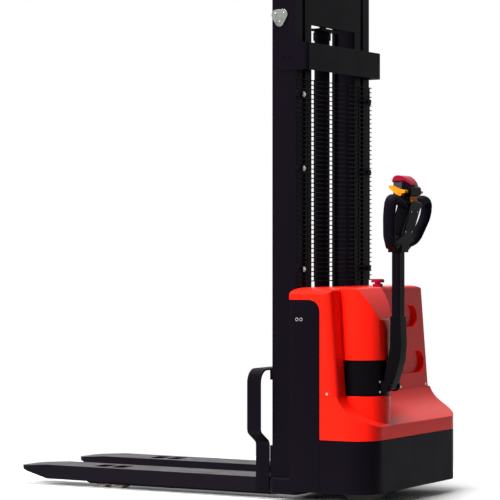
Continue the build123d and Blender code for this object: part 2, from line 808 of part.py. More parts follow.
# Sheaves and leaf chains: one run up to each sheave, one run down to the carriage
sheave_rim = 38.0
groove = sheave_pitch - chain_thick / 2 - 0.5
lug_top = 400.0
with BuildPart() as chain_sheaves:
    for side in (-1, 1):
        with BuildSketch(Plane.XZ.offset(-side * chain_y)):
            with Locations((mast_mid, sheave_z)):
                Circle(groove)
        extrude(amount=sheave_width / 2, both=True)
        for face in (-1, 1):
            y = side * chain_y + face * (sheave_width / 2)
            with BuildSketch(Plane.XZ.offset(-y)):
                with Locations((mast_mid, sheave_z)):
                    Circle(sheave_rim)
            extrude(amount=face * (sheave_width - chain_width - 1) / 2)
    with BuildSketch(Plane.XZ):
        with Locations((mast_mid, sheave_z)):
            Circle(sheave_pin_dia / 2 + running_clear)
    extrude(amount=mast_width, both=True, mode=Mode.SUBTRACT)
save(chain_sheaves, "chain_sheaves")

with BuildPart() as chain_front:
    for side in (-1, 1):
        with BuildSketch(Plane.XZ.offset(-side * chain_y)):
            with BuildLine():
                Line((front_chain_x, lug_top), (front_chain_x, sheave_z))
                ThreePointArc(
                    (front_chain_x, sheave_z),
                    (mast_mid, sheave_z + sheave_pitch),
                    (rear_chain_x, sheave_z),
                )
            trace(line_width=chain_thick)
        extrude(amount=chain_width / 2, both=True)
save(chain_front, "chain_front")

rear_chain_z = barrel_top + anchor_plate + anchor_block[2]
with BuildPart() as chain_rear:
    with BuildSketch(Plane.XY.offset(rear_chain_z)):
        with Locations((rear_chain_x, 0)):
            with GridLocations(1, 2 * chain_y, 1, 2):
                Rectangle(chain_thick, chain_width)
    extrude(amount=sheave_z - rear_chain_z)
save(chain_rear, "chain_rear")

# Fork carriage: cross plates before the mast, roller plates between the rails, chain lugs
carriage_low = (70.0, 212.0)
carriage_high = (hoop_top - 45.0, hoop_top)
carriage_half = fork_spread / 2
carriage_foot = 112.0
cheek_y = 156.0
cheek_depth = 94.0
carriage_roller_z = (200.0, 430.0)
lug_thick = 15.0
with BuildPart() as fork_carriage:
    for z0, z1 in (carriage_low, carriage_high):
        with BuildSketch(Plane.YZ.offset(front_x)):
            with Locations((0, (z0 + z1) / 2)):
                Rectangle(2 * carriage_half, z1 - z0)
        extrude(amount=tie_plate)
    for side in (-1, 1):
        with BuildSketch(Plane.XZ.offset(-side * cheek_y)):
            with Locations((front_x, carriage_foot)):
                Rectangle(cheek_depth, hoop_top - carriage_foot, align=(Align.MIN, Align.MIN))
        extrude(amount=tie_plate / 2, both=True)
        with BuildSketch(Plane.XZ.offset(-side * cheek_y)):
            for z in carriage_roller_z:
                with Locations((mast_mid, z)):
                    Circle(mast_stub / 2)
        extrude(amount=-side * (web_y0 - end_clear - cheek_y))
        with BuildSketch(Plane.XY.offset(lug_top)):
            with Locations((front_x, side * chain_y)):
                Rectangle(
                    front_chain_x + chain_thick - front_x,
                    chain_width + 6,
                    align=(Align.MIN, Align.CENTER),
                )
        extrude(amount=-lug_thick)
        with BuildSketch(Plane.XZ.offset(-side * chain_y)):
            with BuildLine():
                Polyline(
                    (front_x, carriage_high[0]),
                    (front_x, lug_top - lug_thick),
                    (front_x + tie_plate, lug_top - lug_thick),
                    (front_x + tie_plate, carriage_high[0]),
                    close=True,
                )
            make_face()
        extrude(amount=chain_width / 2, both=True)
save(fork_carriage, "fork_carriage")

for level, z in zip(("lower", "upper"), carriage_roller_z):
    with BuildPart() as carriage_rollers:
        for side in (-1, 1):
            with BuildSketch(Plane.XZ.offset(-side * (web_y0 - end_clear))):
                with Locations((mast_mid, z)):
                    Circle(pocket / 2 - roller_clear)
                    Circle(mast_stub / 2 + running_clear, mode=Mode.SUBTRACT)
            extrude(amount=side * (web_y0 - end_clear - inner_y0 - 2))
    save(carriage_rollers, f"carriage_rollers_{level}")

# Forks: channels open below that straddle the legs, with openings above the load rollers
fork_x0 = heel_x - fork_length
hollow_start = fork_x0 + fork_taper + 60
tip_round = 62.0
tip_drop = 9.0
window = (62.0, 92.0)
for side in (-1, 1):
    with BuildPart() as fork:
        with BuildSketch(Plane.XZ.offset(-side * fork_y)):
            with BuildLine():
                Polyline(
                    (fork_x0, fork_top - tip_drop - tip_height / 2),
                    (fork_x0 + tip_height, fork_top - tip_drop - tip_height),
                    (fork_x0 + fork_taper, fork_bottom),
                    (front_x, fork_bottom),
                    (front_x, fork_top),
                    (fork_x0 + fork_taper, fork_top),
                    (fork_x0 + tip_height / 2, fork_top - tip_drop),
                    close=True,
                )
            make_face()
        extrude(amount=fork_width / 2, both=True)
        with BuildSketch(Plane.XY) as tip_plan:
            with Locations((fork_x0, side * fork_y)):
                Rectangle(fork_length + heel_depth, fork_width, align=(Align.MIN, Align.CENTER))
            fillet(tip_plan.vertices().group_by(Axis.X)[0], tip_round)
        extrude(amount=fork_top, mode=Mode.INTERSECT)
        with BuildSketch(Plane.XY):
            with Locations((hollow_start, side * fork_y)):
                Rectangle(
                    front_x - hollow_start, fork_width - 2 * fork_wall, align=(Align.MIN, Align.CENTER)
                )
        extrude(amount=fork_top - fork_plate, mode=Mode.SUBTRACT)
        with BuildSketch(Plane.XY.offset(fork_top)):
            with Locations((bogie_at, side * fork_y)):
                with GridLocations(roller_pitch, 1, 2, 1):
                    RectangleRounded(*window, 14)
        extrude(amount=-fork_plate, mode=Mode.SUBTRACT)
    save(fork, f"fork_{side_name(side)}")

# Backrest hoop: flat bar welded to the forks, flared and bent over the carriage
hoop_y = fork_spread / 2 + hoop_thick / 2
hoop_out = hoop_y + hoop_flare
hoop_kink_radius = 24.0
hoop_radii = [hoop_kink_radius, hoop_kink_radius, hoop_bend]
with BuildPart() as backrest_hoop:
    with BuildSketch(Plane.YZ.offset(heel_x)):
        with BuildLine():
            FilletPolyline(
                (-hoop_y, hoop_foot),
                (-hoop_y, hoop_kink_low),
                (-hoop_out, hoop_kink_high),
                (-hoop_out, hoop_top - hoop_thick / 2),
                (hoop_out, hoop_top - hoop_thick / 2),
                (hoop_out, hoop_kink_high),
                (hoop_y, hoop_kink_low),
                (hoop_y, hoop_foot),
                radius=hoop_radii + hoop_radii[::-1],
            )
        trace(line_width=hoop_thick)
    extrude(amount=heel_depth)
save(backrest_hoop, "backrest_hoop")

# Slewing ring on the deck plate, and the upright drive motor that turns in it
drum_z0 = seam_z + drum_gap
drum_z1 = notch_z - drum_gap
ring_top = border_z + ring_height
motor_foot = 225.0
motor_flange = 14.0
with BuildPart() as slew_ring:
    with BuildSketch(Plane.XY.offset(border_z)):
        with Locations((axis_x, steer_y)):
            Circle(ring_outer)
            Circle(ring_inner, mode=Mode.SUBTRACT)
    extrude(amount=ring_height)
save(slew_ring, "slew_ring")

with BuildPart() as drive_motor:
    with BuildSketch(Plane.XY.offset(motor_foot)):
        with Locations((axis_x, steer_y)):
            Circle(motor_radius)
    extrude(amount=drum_z1 - drum_wall - motor_foot)
    with BuildSketch(Plane.XY.offset(ring_top + seat_gap)):
        with Locations((axis_x, steer_y)):
            Circle(ring_outer - 6)
    extrude(amount=motor_flange)
save(drive_motor, "drive_motor")

# Gearbox below the motor: a disc, one side housing and the wheel axle
housing_y = drive_wheel_width / 2 + 4
housing_thick = 23.0
housing_radius = 50.0
gear_disc = 13.0
end_cap = 24.0
with BuildPart() as drive_gearbox:
    with BuildSketch(Plane.XY.offset(motor_foot)):
        with Locations((axis_x, steer_y)):
            Circle(motor_radius)
    extrude(amount=-gear_disc)
    with BuildSketch(Plane.XZ.offset(-steer_y - housing_y)):
        with Locations((axis_x, wheel_z)):
            Circle(housing_radius)
            Rectangle(
                1.5 * housing_radius, motor_foot - gear_disc - wheel_z, align=(Align.CENTER, Align.MIN)
            )
    extrude(amount=-housing_thick)
    with BuildSketch(Plane.XZ.offset(-steer_y - housing_y)):
        with Locations((axis_x, wheel_z)):
            Circle(drive_axle_dia / 2)
    extrude(amount=housing_y + drive_wheel_width / 2 + 2)
    with BuildSketch(Plane.XZ.offset(-steer_y + drive_wheel_width / 2 + 1)):
        with Locations((axis_x, wheel_z)):
            Circle(end_cap)
    extrude(amount=6)
save(drive_gearbox, "drive_gearbox")

with BuildPart() as drive_wheel:
    with BuildSketch(Plane.XZ.offset(-steer_y)):
        with Locations((axis_x, wheel_z)):
            Circle(drive_wheel_dia / 2)
            Circle(drive_axle_dia / 2 + running_clear, mode=Mode.SUBTRACT)
    extrude(amount=drive_wheel_width / 2, both=True)
    treads = drive_wheel.edges().filter_by(GeomType.CIRCLE).filter_by(lambda e: e.radius > drive_axle_dia)
    fillet(treads, 8)
save(drive_wheel, "drive_wheel")

# Steering drum: round shell over the motor, with two lugs that hold the tiller pin
lug_in = 28.0
lug_plate = 10.0
lug_height = 42.0
pivot_x = axis_x + tiller_pivot_r
with BuildPart() as steering_drum:
    with BuildSketch(Plane.XY.offset(drum_z0)):
        with Locations((axis_x, steer_y)):
            Circle(drum_radius)
    extrude(amount=drum_z1 - drum_z0)
    fillet(steering_drum.faces().sort_by(Axis.Z)[-1].edges(), 3)
    for face in (-1, 1):
        y = steer_y + face * lug_in
        with BuildSketch(Plane.XZ.offset(-y)):
            with Locations((pivot_x, tiller_pivot_z)):
                Circle(lug_height / 2)
                Rectangle(tiller_pivot_r, lug_height, align=(Align.MAX, Align.CENTER))
        extrude(amount=-face * lug_plate)
    with BuildSketch(Plane.XY.offset(drum_z0)):
        with Locations((axis_x, steer_y)):
            Circle(drum_radius - drum_wall)
    extrude(amount=drum_z1 - drum_wall - drum_z0, mode=Mode.SUBTRACT)
    with BuildSketch(Plane.XZ.offset(-steer_y)):
        with Locations((pivot_x, tiller_pivot_z)):
            Circle(tiller_pin_dia / 2)
    extrude(amount=drum_radius, both=True, mode=Mode.SUBTRACT)
save(steering_drum, "steering_drum")

with BuildPart() as tiller_pin:
    with BuildSketch(Plane.XZ.offset(-steer_y)):
        with Locations((pivot_x, tiller_pivot_z)):
            Circle(tiller_pin_dia / 2)
    extrude(amount=lug_in + lug_plate + 4, both=True)
save(tiller_pin, "tiller_pin")

# Swivel caster beside the drive wheel
caster_at = body_x0 + caster_x
axle_x = caster_at - caster_trail
axle_z = caster_dia / 2
boss_bottom = border_z - deck_plate - caster_boss_height
crown_thick = 12.0
crown_z = boss_bottom - seat_gap - crown_thick
caster_cheek = 6.0
cheek_in = caster_width / 2 + 3
with BuildPart() as caster_fork:
    with BuildSketch(Plane.XY.offset(crown_z)):
        with Locations((caster_at, caster_y)):
            Circle(caster_boss)
    extrude(amount=crown_thick)
    with BuildSketch(Plane.XY.offset(crown_z)):
        with Locations((caster_at, caster_y)):
            Circle(kingpin_dia / 2)
    extrude(amount=border_z - joint_gap - crown_z)
    for face in (-1, 1):
        y = caster_y + face * cheek_in
        with BuildSketch(Plane.XZ.offset(-y)):
            with Locations((axle_x, axle_z)):
                Circle(caster_axle_dia)
            with BuildLine():
                Polyline(
                    (caster_at - 24, crown_z + crown_thick / 2),
                    (axle_x - caster_axle_dia, axle_z),
                    (axle_x + caster_axle_dia, axle_z),
                    (caster_at + 24, crown_z + crown_thick / 2),
                    close=True,
                )
            make_face()
        extrude(amount=-face * caster_cheek)
    with BuildSketch(Plane.XZ.offset(-caster_y)):
        with Locations((axle_x, axle_z)):
            Circle(caster_axle_dia / 2)
    extrude(amount=cheek_in + caster_cheek, both=True)
save(caster_fork, "caster_fork")

with BuildPart() as caster_wheel:
    with BuildSketch(Plane.XZ.offset(-caster_y)):
        with Locations((axle_x, axle_z)):
            Circle(caster_dia / 2)
            Circle(caster_axle_dia / 2 + running_clear, mode=Mode.SUBTRACT)
    extrude(amount=caster_width / 2, both=True)
    rims = caster_wheel.edges().filter_by(GeomType.CIRCLE).filter_by(lambda e: e.radius > caster_axle_dia)
    fillet(rims, 10)
save(caster_wheel, "caster_wheel")

# Tiller: bent foot on the pin, square arm, control head and two loop grips
arm_x = axis_x + tiller_reach
boot_half = lug_in - joint_gap
with BuildPart() as tiller_boot:
    with BuildSketch(Plane.XZ.offset(-steer_y)):
        with Locations((pivot_x, tiller_pivot_z)):
            Circle(eye_radius)
        with BuildLine():
            Polyline(
                (pivot_x + eye_radius, tiller_pivot_z),
                (pivot_x + 30, tiller_pivot_z + 36),
                (pivot_x + 49, tiller_pivot_z + 100),
                (arm_x + 25, tiller_pivot_z + 160),
                (arm_x + 21, boot_top),
                (arm_x - 21, boot_top),
                (arm_x - 23, tiller_pivot_z + 150),
                (pivot_x - 4, tiller_pivot_z + 92),
                (pivot_x - eye_radius, tiller_pivot_z + 40),
                (pivot_x - eye_radius, tiller_pivot_z),
                close=True,
            )
        make_face()
    extrude(amount=boot_half, both=True)
    with BuildSketch(Plane.XY.offset(arm_bottom)):
        with Locations((arm_x, steer_y)):
            Rectangle(arm_depth + 2 * seat_gap, arm_breadth + 2 * seat_gap)
    extrude(amount=boot_top, mode=Mode.SUBTRACT)
    with BuildSketch(Plane.XZ.offset(-steer_y)):
        with Locations((pivot_x, tiller_pivot_z)):
            Circle(tiller_pin_dia / 2 + running_clear)
    extrude(amount=drum_radius, both=True, mode=Mode.SUBTRACT)
save(tiller_boot, "tiller_boot")

arm_top = head_base + 20.0
arm_wall = 4.0
with BuildPart() as tiller_arm:
    with BuildSketch(Plane.XY.offset(arm_bottom)):
        with Locations((arm_x, steer_y)):
            RectangleRounded(arm_depth, arm_breadth, 6)
            RectangleRounded(arm_depth - 2 * arm_wall, arm_breadth - 2 * arm_wall, 2.5, mode=Mode.SUBTRACT)
    extrude(amount=arm_top - arm_bottom)
save(tiller_arm, "tiller_arm")

# Control head: a keystone body that leans to the operator, with the control pod on top
lean_x = sin(radians(head_lean))
lean_z = cos(radians(head_lean))
head_plane = Plane(origin=(arm_x, steer_y, head_base), x_dir=(0, 1, 0), z_dir=(lean_z, 0, -lean_x))
half_outline = [(44, -26), (80, 6), (80, 24), (38, 46), (54, 174)]
socket_wall = 12.0
pod_low = 1178.0
pod_top = 1236.0
pad_travel = 4.0
pad_low = pod_top + pad_travel + 1
pad_top = 1262.0
pad_stem = 20.0
stem_x = arm_x + 26.0
stem_foot = pod_top - 14
hub_x = arm_x + 30.0
hub_z = 1199.0
paddle_shaft = 16.0
rocker_x = arm_x + 60.0
rocker_z = 1171.0
rocker_radius = 15.5
rocker_length = 50.0

with BuildPart() as head_body:
    with BuildSketch(head_plane):
        with BuildLine():
            FilletPolyline(*half_outline, *[(-u, v) for u, v in half_outline[::-1]], radius=9, close=True)
        make_face()
    extrude(amount=head_depth / 2, both=True)
    across = Axis(head_plane.origin, head_plane.z_dir)
    fillet(head_body.faces().sort_by(across)[-1].edges(), 6)
    fillet(head_body.faces().sort_by(across)[0].edges(), 6)

with BuildPart() as pod:
    with BuildSketch(Plane.XZ.offset(-steer_y)):
        with BuildLine():
            FilletPolyline(
                (arm_x, pod_low),
                (arm_x, pod_top),
                (arm_x + 44, pod_top),
                (arm_x + 76, pod_top - 23),
                (arm_x + 76, pod_low + 9),
                (arm_x + 60, pod_low + 3),
                (arm_x + 60, head_base + 130),
                (arm_x + 34, head_base + 130),
                radius=5,
                close=True,
            )
        make_face()
    extrude(amount=pod_half, both=True)
    fillet(pod.faces().filter_by(Axis.Y).edges(), 4)

with BuildPart() as tiller_head:
    add(head_body.part)
    add(pod.part)
    with BuildSketch(Plane.XY.offset(head_bottom)):
        with Locations((arm_x, steer_y)):
            RectangleRounded(arm_depth + 2 * socket_wall, arm_breadth + 2 * socket_wall, 10)
    extrude(amount=arm_top - head_bottom)
    with BuildSketch(Plane.XY.offset(head_bottom)):
        with Locations((arm_x, steer_y)):
            Rectangle(arm_depth + 2 * seat_gap, arm_breadth + 2 * seat_gap)
    extrude(amount=arm_top - head_bottom, mode=Mode.SUBTRACT)
    with BuildSketch(Plane.XY.offset(pod_top)):
        with Locations((stem_x, steer_y)):
            Circle(pad_stem / 2 + seat_gap)
    extrude(amount=stem_foot - pad_travel - 2 - pod_top, mode=Mode.SUBTRACT)
    with BuildSketch(Plane.XZ.offset(-steer_y)):
        with Locations((hub_x, hub_z)):
            Circle(paddle_shaft / 2 + running_clear)
    extrude(amount=2 * pod_half, both=True, mode=Mode.SUBTRACT)
    with BuildSketch(Plane.XZ.offset(-steer_y)):
        with Locations((rocker_x, rocker_z)):
            Circle(rocker_radius + seat_gap)
    extrude(amount=rocker_length / 2 + seat_gap, both=True, mode=Mode.SUBTRACT)
save(tiller_head, "tiller_head")

# Loop grips: two bows that widen upwards from the foot of the head
grip_high = 156.0
grip_low = 8.0
grip_low_reach = 96.0
with BuildPart() as tiller_grips:
    for face in (-1, 1):
        with BuildLine(head_plane) as loop:
            FilletPolyline(
                (face * pod_half, grip_high),
                (face * grip_corner, grip_high),
                (face * grip_low_reach, grip_low),
                (face * pod_half, grip_low),
                radius=[34, 26],
            )
        bow = loop.wires()[0]
        with BuildSketch(Plane(bow @ 0, z_dir=bow % 0)):
            Circle(grip_tube / 2)
        sweep(path=bow)
    add(tiller_head.part, mode=Mode.SUBTRACT)
save(tiller_grips, "tiller_grips")

# Butterfly paddles on one shaft, belly button over the pod, and the lift rocker
paddle_hub = 13.0
paddle_edge = 6.0
paddle_width = 36.0
paddle_in = pod_half + 3
wing_tips = ((hub_x - 44, hub_z + 20), (hub_x + 37, hub_z + 6))
with BuildPart() as throttle_paddles:
    with BuildSketch(Plane.XZ.offset(-steer_y)):
        with Locations((hub_x, hub_z)):
            Circle(paddle_shaft / 2)
    extrude(amount=paddle_in + paddle_width / 2, both=True)
    for face in (-1, 1):
        for tip in wing_tips:
            with BuildSketch(Plane.XZ.offset(-steer_y - face * paddle_in)):
                with Locations((hub_x, hub_z)):
                    Circle(paddle_hub)
                with Locations(tip):
                    Circle(paddle_edge)
                make_hull()
            extrude(amount=-face * paddle_width)
    fillet(throttle_paddles.faces().filter_by(Axis.Y).group_by(Axis.Y)[0].edges(), 3)
    fillet(throttle_paddles.faces().filter_by(Axis.Y).group_by(Axis.Y)[-1].edges(), 3)
save(throttle_paddles, "throttle_paddles")

with BuildPart() as belly_button:
    with BuildSketch(Plane.XZ.offset(-steer_y)) as pad_side:
        with BuildLine():
            Polyline(
                (arm_x + 12, pad_top),
                (arm_x - 3, pad_low + 9),
                (arm_x - 3, pad_low),
                (arm_x + 45, pad_low),
                (arm_x + 78, pad_low - 22),
                (arm_x + pad_rear, pad_low - 22),
                (arm_x + pad_rear, pad_low - 14),
            )
            ThreePointArc((arm_x + pad_rear, pad_low - 14), (arm_x + 52, pad_low + 12), (arm_x + 12, pad_top))
        make_face()
        fillet(pad_side.vertices().sort_by(Axis.Y)[-1], 14)
    extrude(amount=pod_half, both=True)
    sides = belly_button.faces().filter_by(Axis.Y).edges()
    fillet(sides.filter_by(lambda e: e.center().Z > pad_low + 2 or e.center().X > arm_x + 60), 5)
    with BuildSketch(Plane.XY.offset(stem_foot)):
        with Locations((stem_x, steer_y)):
            Circle(pad_stem / 2)
    extrude(amount=pad_low + 5 - stem_foot)
save(belly_button, "belly_button")

with BuildPart() as lift_rocker:
    with BuildSketch(Plane.XZ.offset(-steer_y)):
        with Locations((rocker_x, rocker_z)):
            Circle(rocker_radius)
        with BuildLine():
            Polyline(
                (rocker_x + rocker_radius, rocker_z - rocker_radius),
                (rocker_x + 0.5 * rocker_radius, rocker_z),
                (rocker_x + rocker_radius, rocker_z + rocker_radius),
                close=True,
            )
        make_face(mode=Mode.SUBTRACT)
    extrude(amount=rocker_length / 2, both=True)
save(lift_rocker, "lift_rocker")

# Emergency stop on the hood
estop_x = body_x0 + 146.0
estop_y = 52.0
collar_dia = 40.0
collar_height = 10.0
stem_dia = 24.0
stop_travel = 5.0
stop_dia = 52.0
stop_top = cover_top + 29.0
stop_cap = 14.0
with BuildPart() as estop_housing:
    with BuildSketch(Plane.XY.offset(cover_top)):
        with Locations((estop_x, estop_y)):
            Circle(collar_dia / 2)
            Circle(stem_dia / 2 + seat_gap, mode=Mode.SUBTRACT)
    extrude(amount=collar_height)
save(estop_housing, "estop_housing")

with BuildPart() as estop_button:
    with BuildSketch(Plane.XY.offset(stop_top)):
        with Locations((estop_x, estop_y)):
            Circle(stop_dia / 2)
    extrude(amount=-stop_cap)
    fillet(estop_button.faces().sort_by(Axis.Z)[-1].edges(), 5)
    with BuildSketch(Plane.XY.offset(cover_top + stop_travel + 1)):
        with Locations((estop_x, estop_y)):
            Circle(stem_dia / 2)
    extrude(amount=stop_top - stop_cap - cover_top - stop_travel - 1)
save(estop_button, "estop_button")

# Under the hood: battery on the deck plate, pump with its tank, and the motor controller
store_x = body_x0 + bulkhead + 4
store_depth = side_plate_length - bulkhead - 8
store_half = half_width - side_plate_thick - 14
battery_height = 210.0
battery_breadth = half_width + 55
post_dia = 18.0
post_height = 16.0
tank_breadth = 110.0
tank_height = 190.0
pump_breadth = 140.0
pump_foot = 40.0
pump_motor_dia = 84.0
pump_motor_height = 170.0
with BuildPart() as battery_pack:
    with BuildSketch(Plane.XY.offset(border_z)):
        with Locations((store_x, store_half)):
            Rectangle(store_depth, battery_breadth, align=(Align.MIN, Align.MAX))
    extrude(amount=battery_height)
    with BuildSketch(Plane.XY.offset(border_z + battery_height)):
        with Locations((store_x + store_depth / 2, store_half - battery_breadth / 2)):
            with GridLocations(store_depth / 2, battery_breadth - 4 * post_dia, 2, 2):
                Circle(post_dia / 2)
    extrude(amount=post_height)
save(battery_pack, "battery_pack")

with BuildPart() as pump_unit:
    with BuildSketch(Plane.XY.offset(border_z)):
        with Locations((store_x, -store_half)):
            Rectangle(store_depth - 20, tank_breadth, align=(Align.MIN, Align.MIN))
    extrude(amount=tank_height)
    with BuildSketch(Plane.XY.offset(border_z)):
        with Locations((store_x, tank_breadth - store_half)):
            Rectangle(store_depth - 20, pump_breadth, align=(Align.MIN, Align.MIN))
    extrude(amount=pump_foot)
    with BuildSketch(Plane.XY.offset(border_z + pump_foot)):
        with Locations((store_x + store_depth / 2 - 10, tank_breadth + pump_breadth / 2 - store_half)):
            Circle(pump_motor_dia / 2)
    extrude(amount=pump_motor_height)
save(pump_unit, "pump_unit")

controller_z = 640.0
controller_breadth = 180.0
controller_height = 150.0
controller_depth = 30.0
fin_height = 18.0
fin_count = 9
with BuildPart() as motor_controller:
    with BuildSketch(Plane.YZ.offset(body_x0 + bulkhead)):
        with Locations((0, controller_z)):
            RectangleRounded(controller_breadth, controller_height, 6)
    extrude(amount=controller_depth)
    with BuildSketch(Plane.YZ.offset(body_x0 + bulkhead + controller_depth)):
        with Locations((0, controller_z)):
            with GridLocations(controller_breadth / fin_count, 1, fin_count, 1):
                Rectangle(controller_breadth / fin_count / 4, controller_height - 10)
    extrude(amount=fin_height)
save(motor_controller, "motor_controller")
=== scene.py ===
"""Looks of the electric stacker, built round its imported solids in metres, floor at z = 0."""
import math

import bmesh
import bpy
from mathutils import Matrix, Vector


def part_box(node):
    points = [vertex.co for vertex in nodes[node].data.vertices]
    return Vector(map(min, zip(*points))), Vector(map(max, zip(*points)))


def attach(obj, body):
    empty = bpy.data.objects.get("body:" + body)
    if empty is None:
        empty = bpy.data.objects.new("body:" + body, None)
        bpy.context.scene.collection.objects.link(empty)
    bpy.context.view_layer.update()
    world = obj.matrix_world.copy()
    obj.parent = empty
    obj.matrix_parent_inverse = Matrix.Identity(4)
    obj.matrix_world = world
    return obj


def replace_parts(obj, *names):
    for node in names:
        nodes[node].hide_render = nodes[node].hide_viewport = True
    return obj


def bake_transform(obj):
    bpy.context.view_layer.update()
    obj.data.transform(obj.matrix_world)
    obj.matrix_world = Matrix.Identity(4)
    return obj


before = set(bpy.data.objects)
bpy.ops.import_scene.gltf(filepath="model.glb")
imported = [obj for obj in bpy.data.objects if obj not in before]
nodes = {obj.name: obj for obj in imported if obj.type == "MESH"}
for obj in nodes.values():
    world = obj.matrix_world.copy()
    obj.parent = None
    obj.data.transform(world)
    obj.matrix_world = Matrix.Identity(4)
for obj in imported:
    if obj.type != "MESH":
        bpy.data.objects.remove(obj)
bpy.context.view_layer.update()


class Shade:
    """A socket in a finish's node tree. Arithmetic on it adds Math nodes."""

    def __init__(self, tree, socket=None):
        self.tree = tree
        self.socket = socket

    def node(self, kind, settings=None, inputs=None, out=0):
        """Add one node: its settings first, then values or links for its sockets."""
        made = self.tree.nodes.new(kind)
        for key, value in (settings or {}).items():
            setattr(made, key, value)
        for key, value in (inputs or {}).items():
            if isinstance(value, Shade):
                self.tree.links.new(value.socket, made.inputs[key])
            else:
                made.inputs[key].default_value = value
        return Shade(self.tree, made.outputs[out])

    def math(self, operation, first, second):
        return self.node("ShaderNodeMath", {"operation": operation}, {0: first, 1: second})

    def __add__(self, other):
        return self.math("ADD", self, other)

    def __sub__(self, other):
        return self.math("SUBTRACT", self, other)

    def __rsub__(self, other):
        return self.math("SUBTRACT", other, self)

    def __mul__(self, other):
        return self.math("MULTIPLY", self, other)

    __radd__ = __add__
    __rmul__ = __mul__

    def larger(self, other):
        return self.math("MAXIMUM", self, other)

    def band(self, low, high):
        """0 below low, 1 above high, smooth between them."""
        return self.node(
            "ShaderNodeMapRange",
            {"interpolation_type": "SMOOTHSTEP"},
            {"Value": self, "From Min": low, "From Max": high},
        )

    def mix(self, first, second):
        """One colour where this mask is 0, the other where it is 1."""
        colours = {0: self, 6: first, 7: second}
        return self.node("ShaderNodeMix", {"data_type": "RGBA"}, colours, out=2)


def finish_of(name, colour, roughness, metallic=0.0, gloss=0.5):
    """A new finish with plain values, its node tree to work in and its shader."""
    finish = bpy.data.materials.new(name)
    finish.use_nodes = True
    tree = finish.node_tree
    shader = tree.nodes["Principled BSDF"]
    shader.inputs["Base Color"].default_value = colour
    shader.inputs["Roughness"].default_value = roughness
    shader.inputs["Metallic"].default_value = metallic
    shader.inputs["Specular IOR Level"].default_value = gloss
    return finish, Shade(tree), shader


def place_of(shade):
    """Position on the object at rest, which moves with the piece."""
    return shade.node("ShaderNodeTexCoord", out="Object")


def grain(shade, scale, detail=3.0, rough=0.55):
    """Even cloudy noise over the piece, about 0.3 to 0.7."""
    return shade.node(
        "ShaderNodeTexNoise",
        {},
        {"Vector": place_of(shade), "Scale": scale, "Detail": detail, "Roughness": rough},
    )


def facing_up(shade):
    """1 on faces that look up, 0 on upright and lower faces."""
    normal = shade.node("ShaderNodeNewGeometry", out="Normal")
    height = shade.node("ShaderNodeSeparateXYZ", {}, {0: normal}, out="Z")
    return height.band(0.6, 0.95)


def connect(shade, shader, **links):
    """Link masks and colours to the shader's sockets, named with _ for a space."""
    for key, value in links.items():
        shade.tree.links.new(value.socket, shader.inputs[key.replace("_", " ")])


def bumped(shade, height, strength, distance):
    """Bumps for the shader's Normal, from a height mask."""
    inputs = {"Strength": strength, "Distance": distance, "Height": height}
    return shade.node("ShaderNodeBump", {}, inputs)


def sprayed_black(name, colour, dust, roughness):
    """Sprayed paint: fine orange peel, cloudy gloss and pale dust on upper faces."""
    finish, shade, shader = finish_of(name, colour, roughness, gloss=0.02)
    cloud = grain(shade, 9.0)
    peel = grain(shade, 420.0, 2.0)
    speck = grain(shade, 60.0, 6.0).band(0.52, 0.75)
    dust_and_sheen = facing_up(shade) * (cloud * 0.5 + speck * 0.35)
    connect(
        shade,
        shader,
        Base_Color=dust_and_sheen.mix(colour, dust),
        Roughness=cloud * 0.22 + (roughness - 0.10) + dust_and_sheen * 0.2,
        Normal=bumped(shade, peel, 0.10, 0.0004),
    )
    return finish


black_paint = sprayed_black(
    "black_paint", (0.0034, 0.0024, 0.0044, 1), (0.024, 0.021, 0.026, 1), 0.40
)
sharp_turn = 0.6
weld_reach = 0.00002


def dress(node, finish, width):
    """Give a CAD node its finish, smooth curves and sharp edges broken by a small round."""
    piece = nodes[node]
    piece.data.materials.clear()
    piece.data.materials.append(finish)
    piece.data.set_sharp_from_angle(angle=sharp_turn)
    piece.data.shade_smooth()
    piece.modifiers.new("weld", "WELD").merge_threshold = weld_reach
    if width:
        bevel = piece.modifiers.new("broken_edges", "BEVEL")
        bevel.width = width
        bevel.segments = 2
        bevel.limit_method = "ANGLE"
        bevel.angle_limit = sharp_turn
        bevel.use_clamp_overlap = True
    piece.modifiers.new("even_normals", "WEIGHTED_NORMAL").keep_sharp = True


for side in ("near", "far"):
    dress(f"support_leg_{side}", black_paint, 0.002)

# Bogies and load rollers: bare steel plates rock on a zinc plated pin in each leg, and
# brown polyurethane rollers turn on axles between the plates.


def streaked(shade, stretch, scale, detail):
    """Noise drawn out into fine lines."""
    place = shade.node("ShaderNodeMapping", {}, {"Vector": place_of(shade), "Scale": stretch})
    return shade.node("ShaderNodeTexNoise", {}, {"Vector": place, "Scale": scale, "Detail": detail})


def bare_steel(name, colour, roughness, streak):
    """Machined steel with fine streaks along one axis and darker handled clouds."""
    finish, shade, shader = finish_of(name, colour, roughness, metallic=1.0)
    lines = streaked(shade, streak, 30.0, 4.0)
    stain = grain(shade, 26.0, 5.0).band(0.45, 0.75)
    dark = tuple(0.45 * c for c in colour[:3]) + (1,)
    connect(
        shade,
        shader,
        Base_Color=stain.mix(colour, dark),
        Roughness=lines * 0.25 + (roughness - 0.10) + stain * 0.12,
        Normal=bumped(shade, lines, 0.12, 0.0003),
    )
    return finish


def worn_tread(name, colour, dirt, roughness):
    """Moulded tread, dirty where it rolls."""
    finish, shade, shader = finish_of(name, colour, roughness)
    grime = grain(shade, 45.0, 6.0).band(0.42, 0.72)
    connect(
        shade,
        shader,
        Base_Color=grime.mix(colour, dirt),
        Roughness=grime * 0.2 + (roughness - 0.05),
        Normal=bumped(shade, grain(shade, 240.0), 0.2, 0.0006),
    )
    return finish


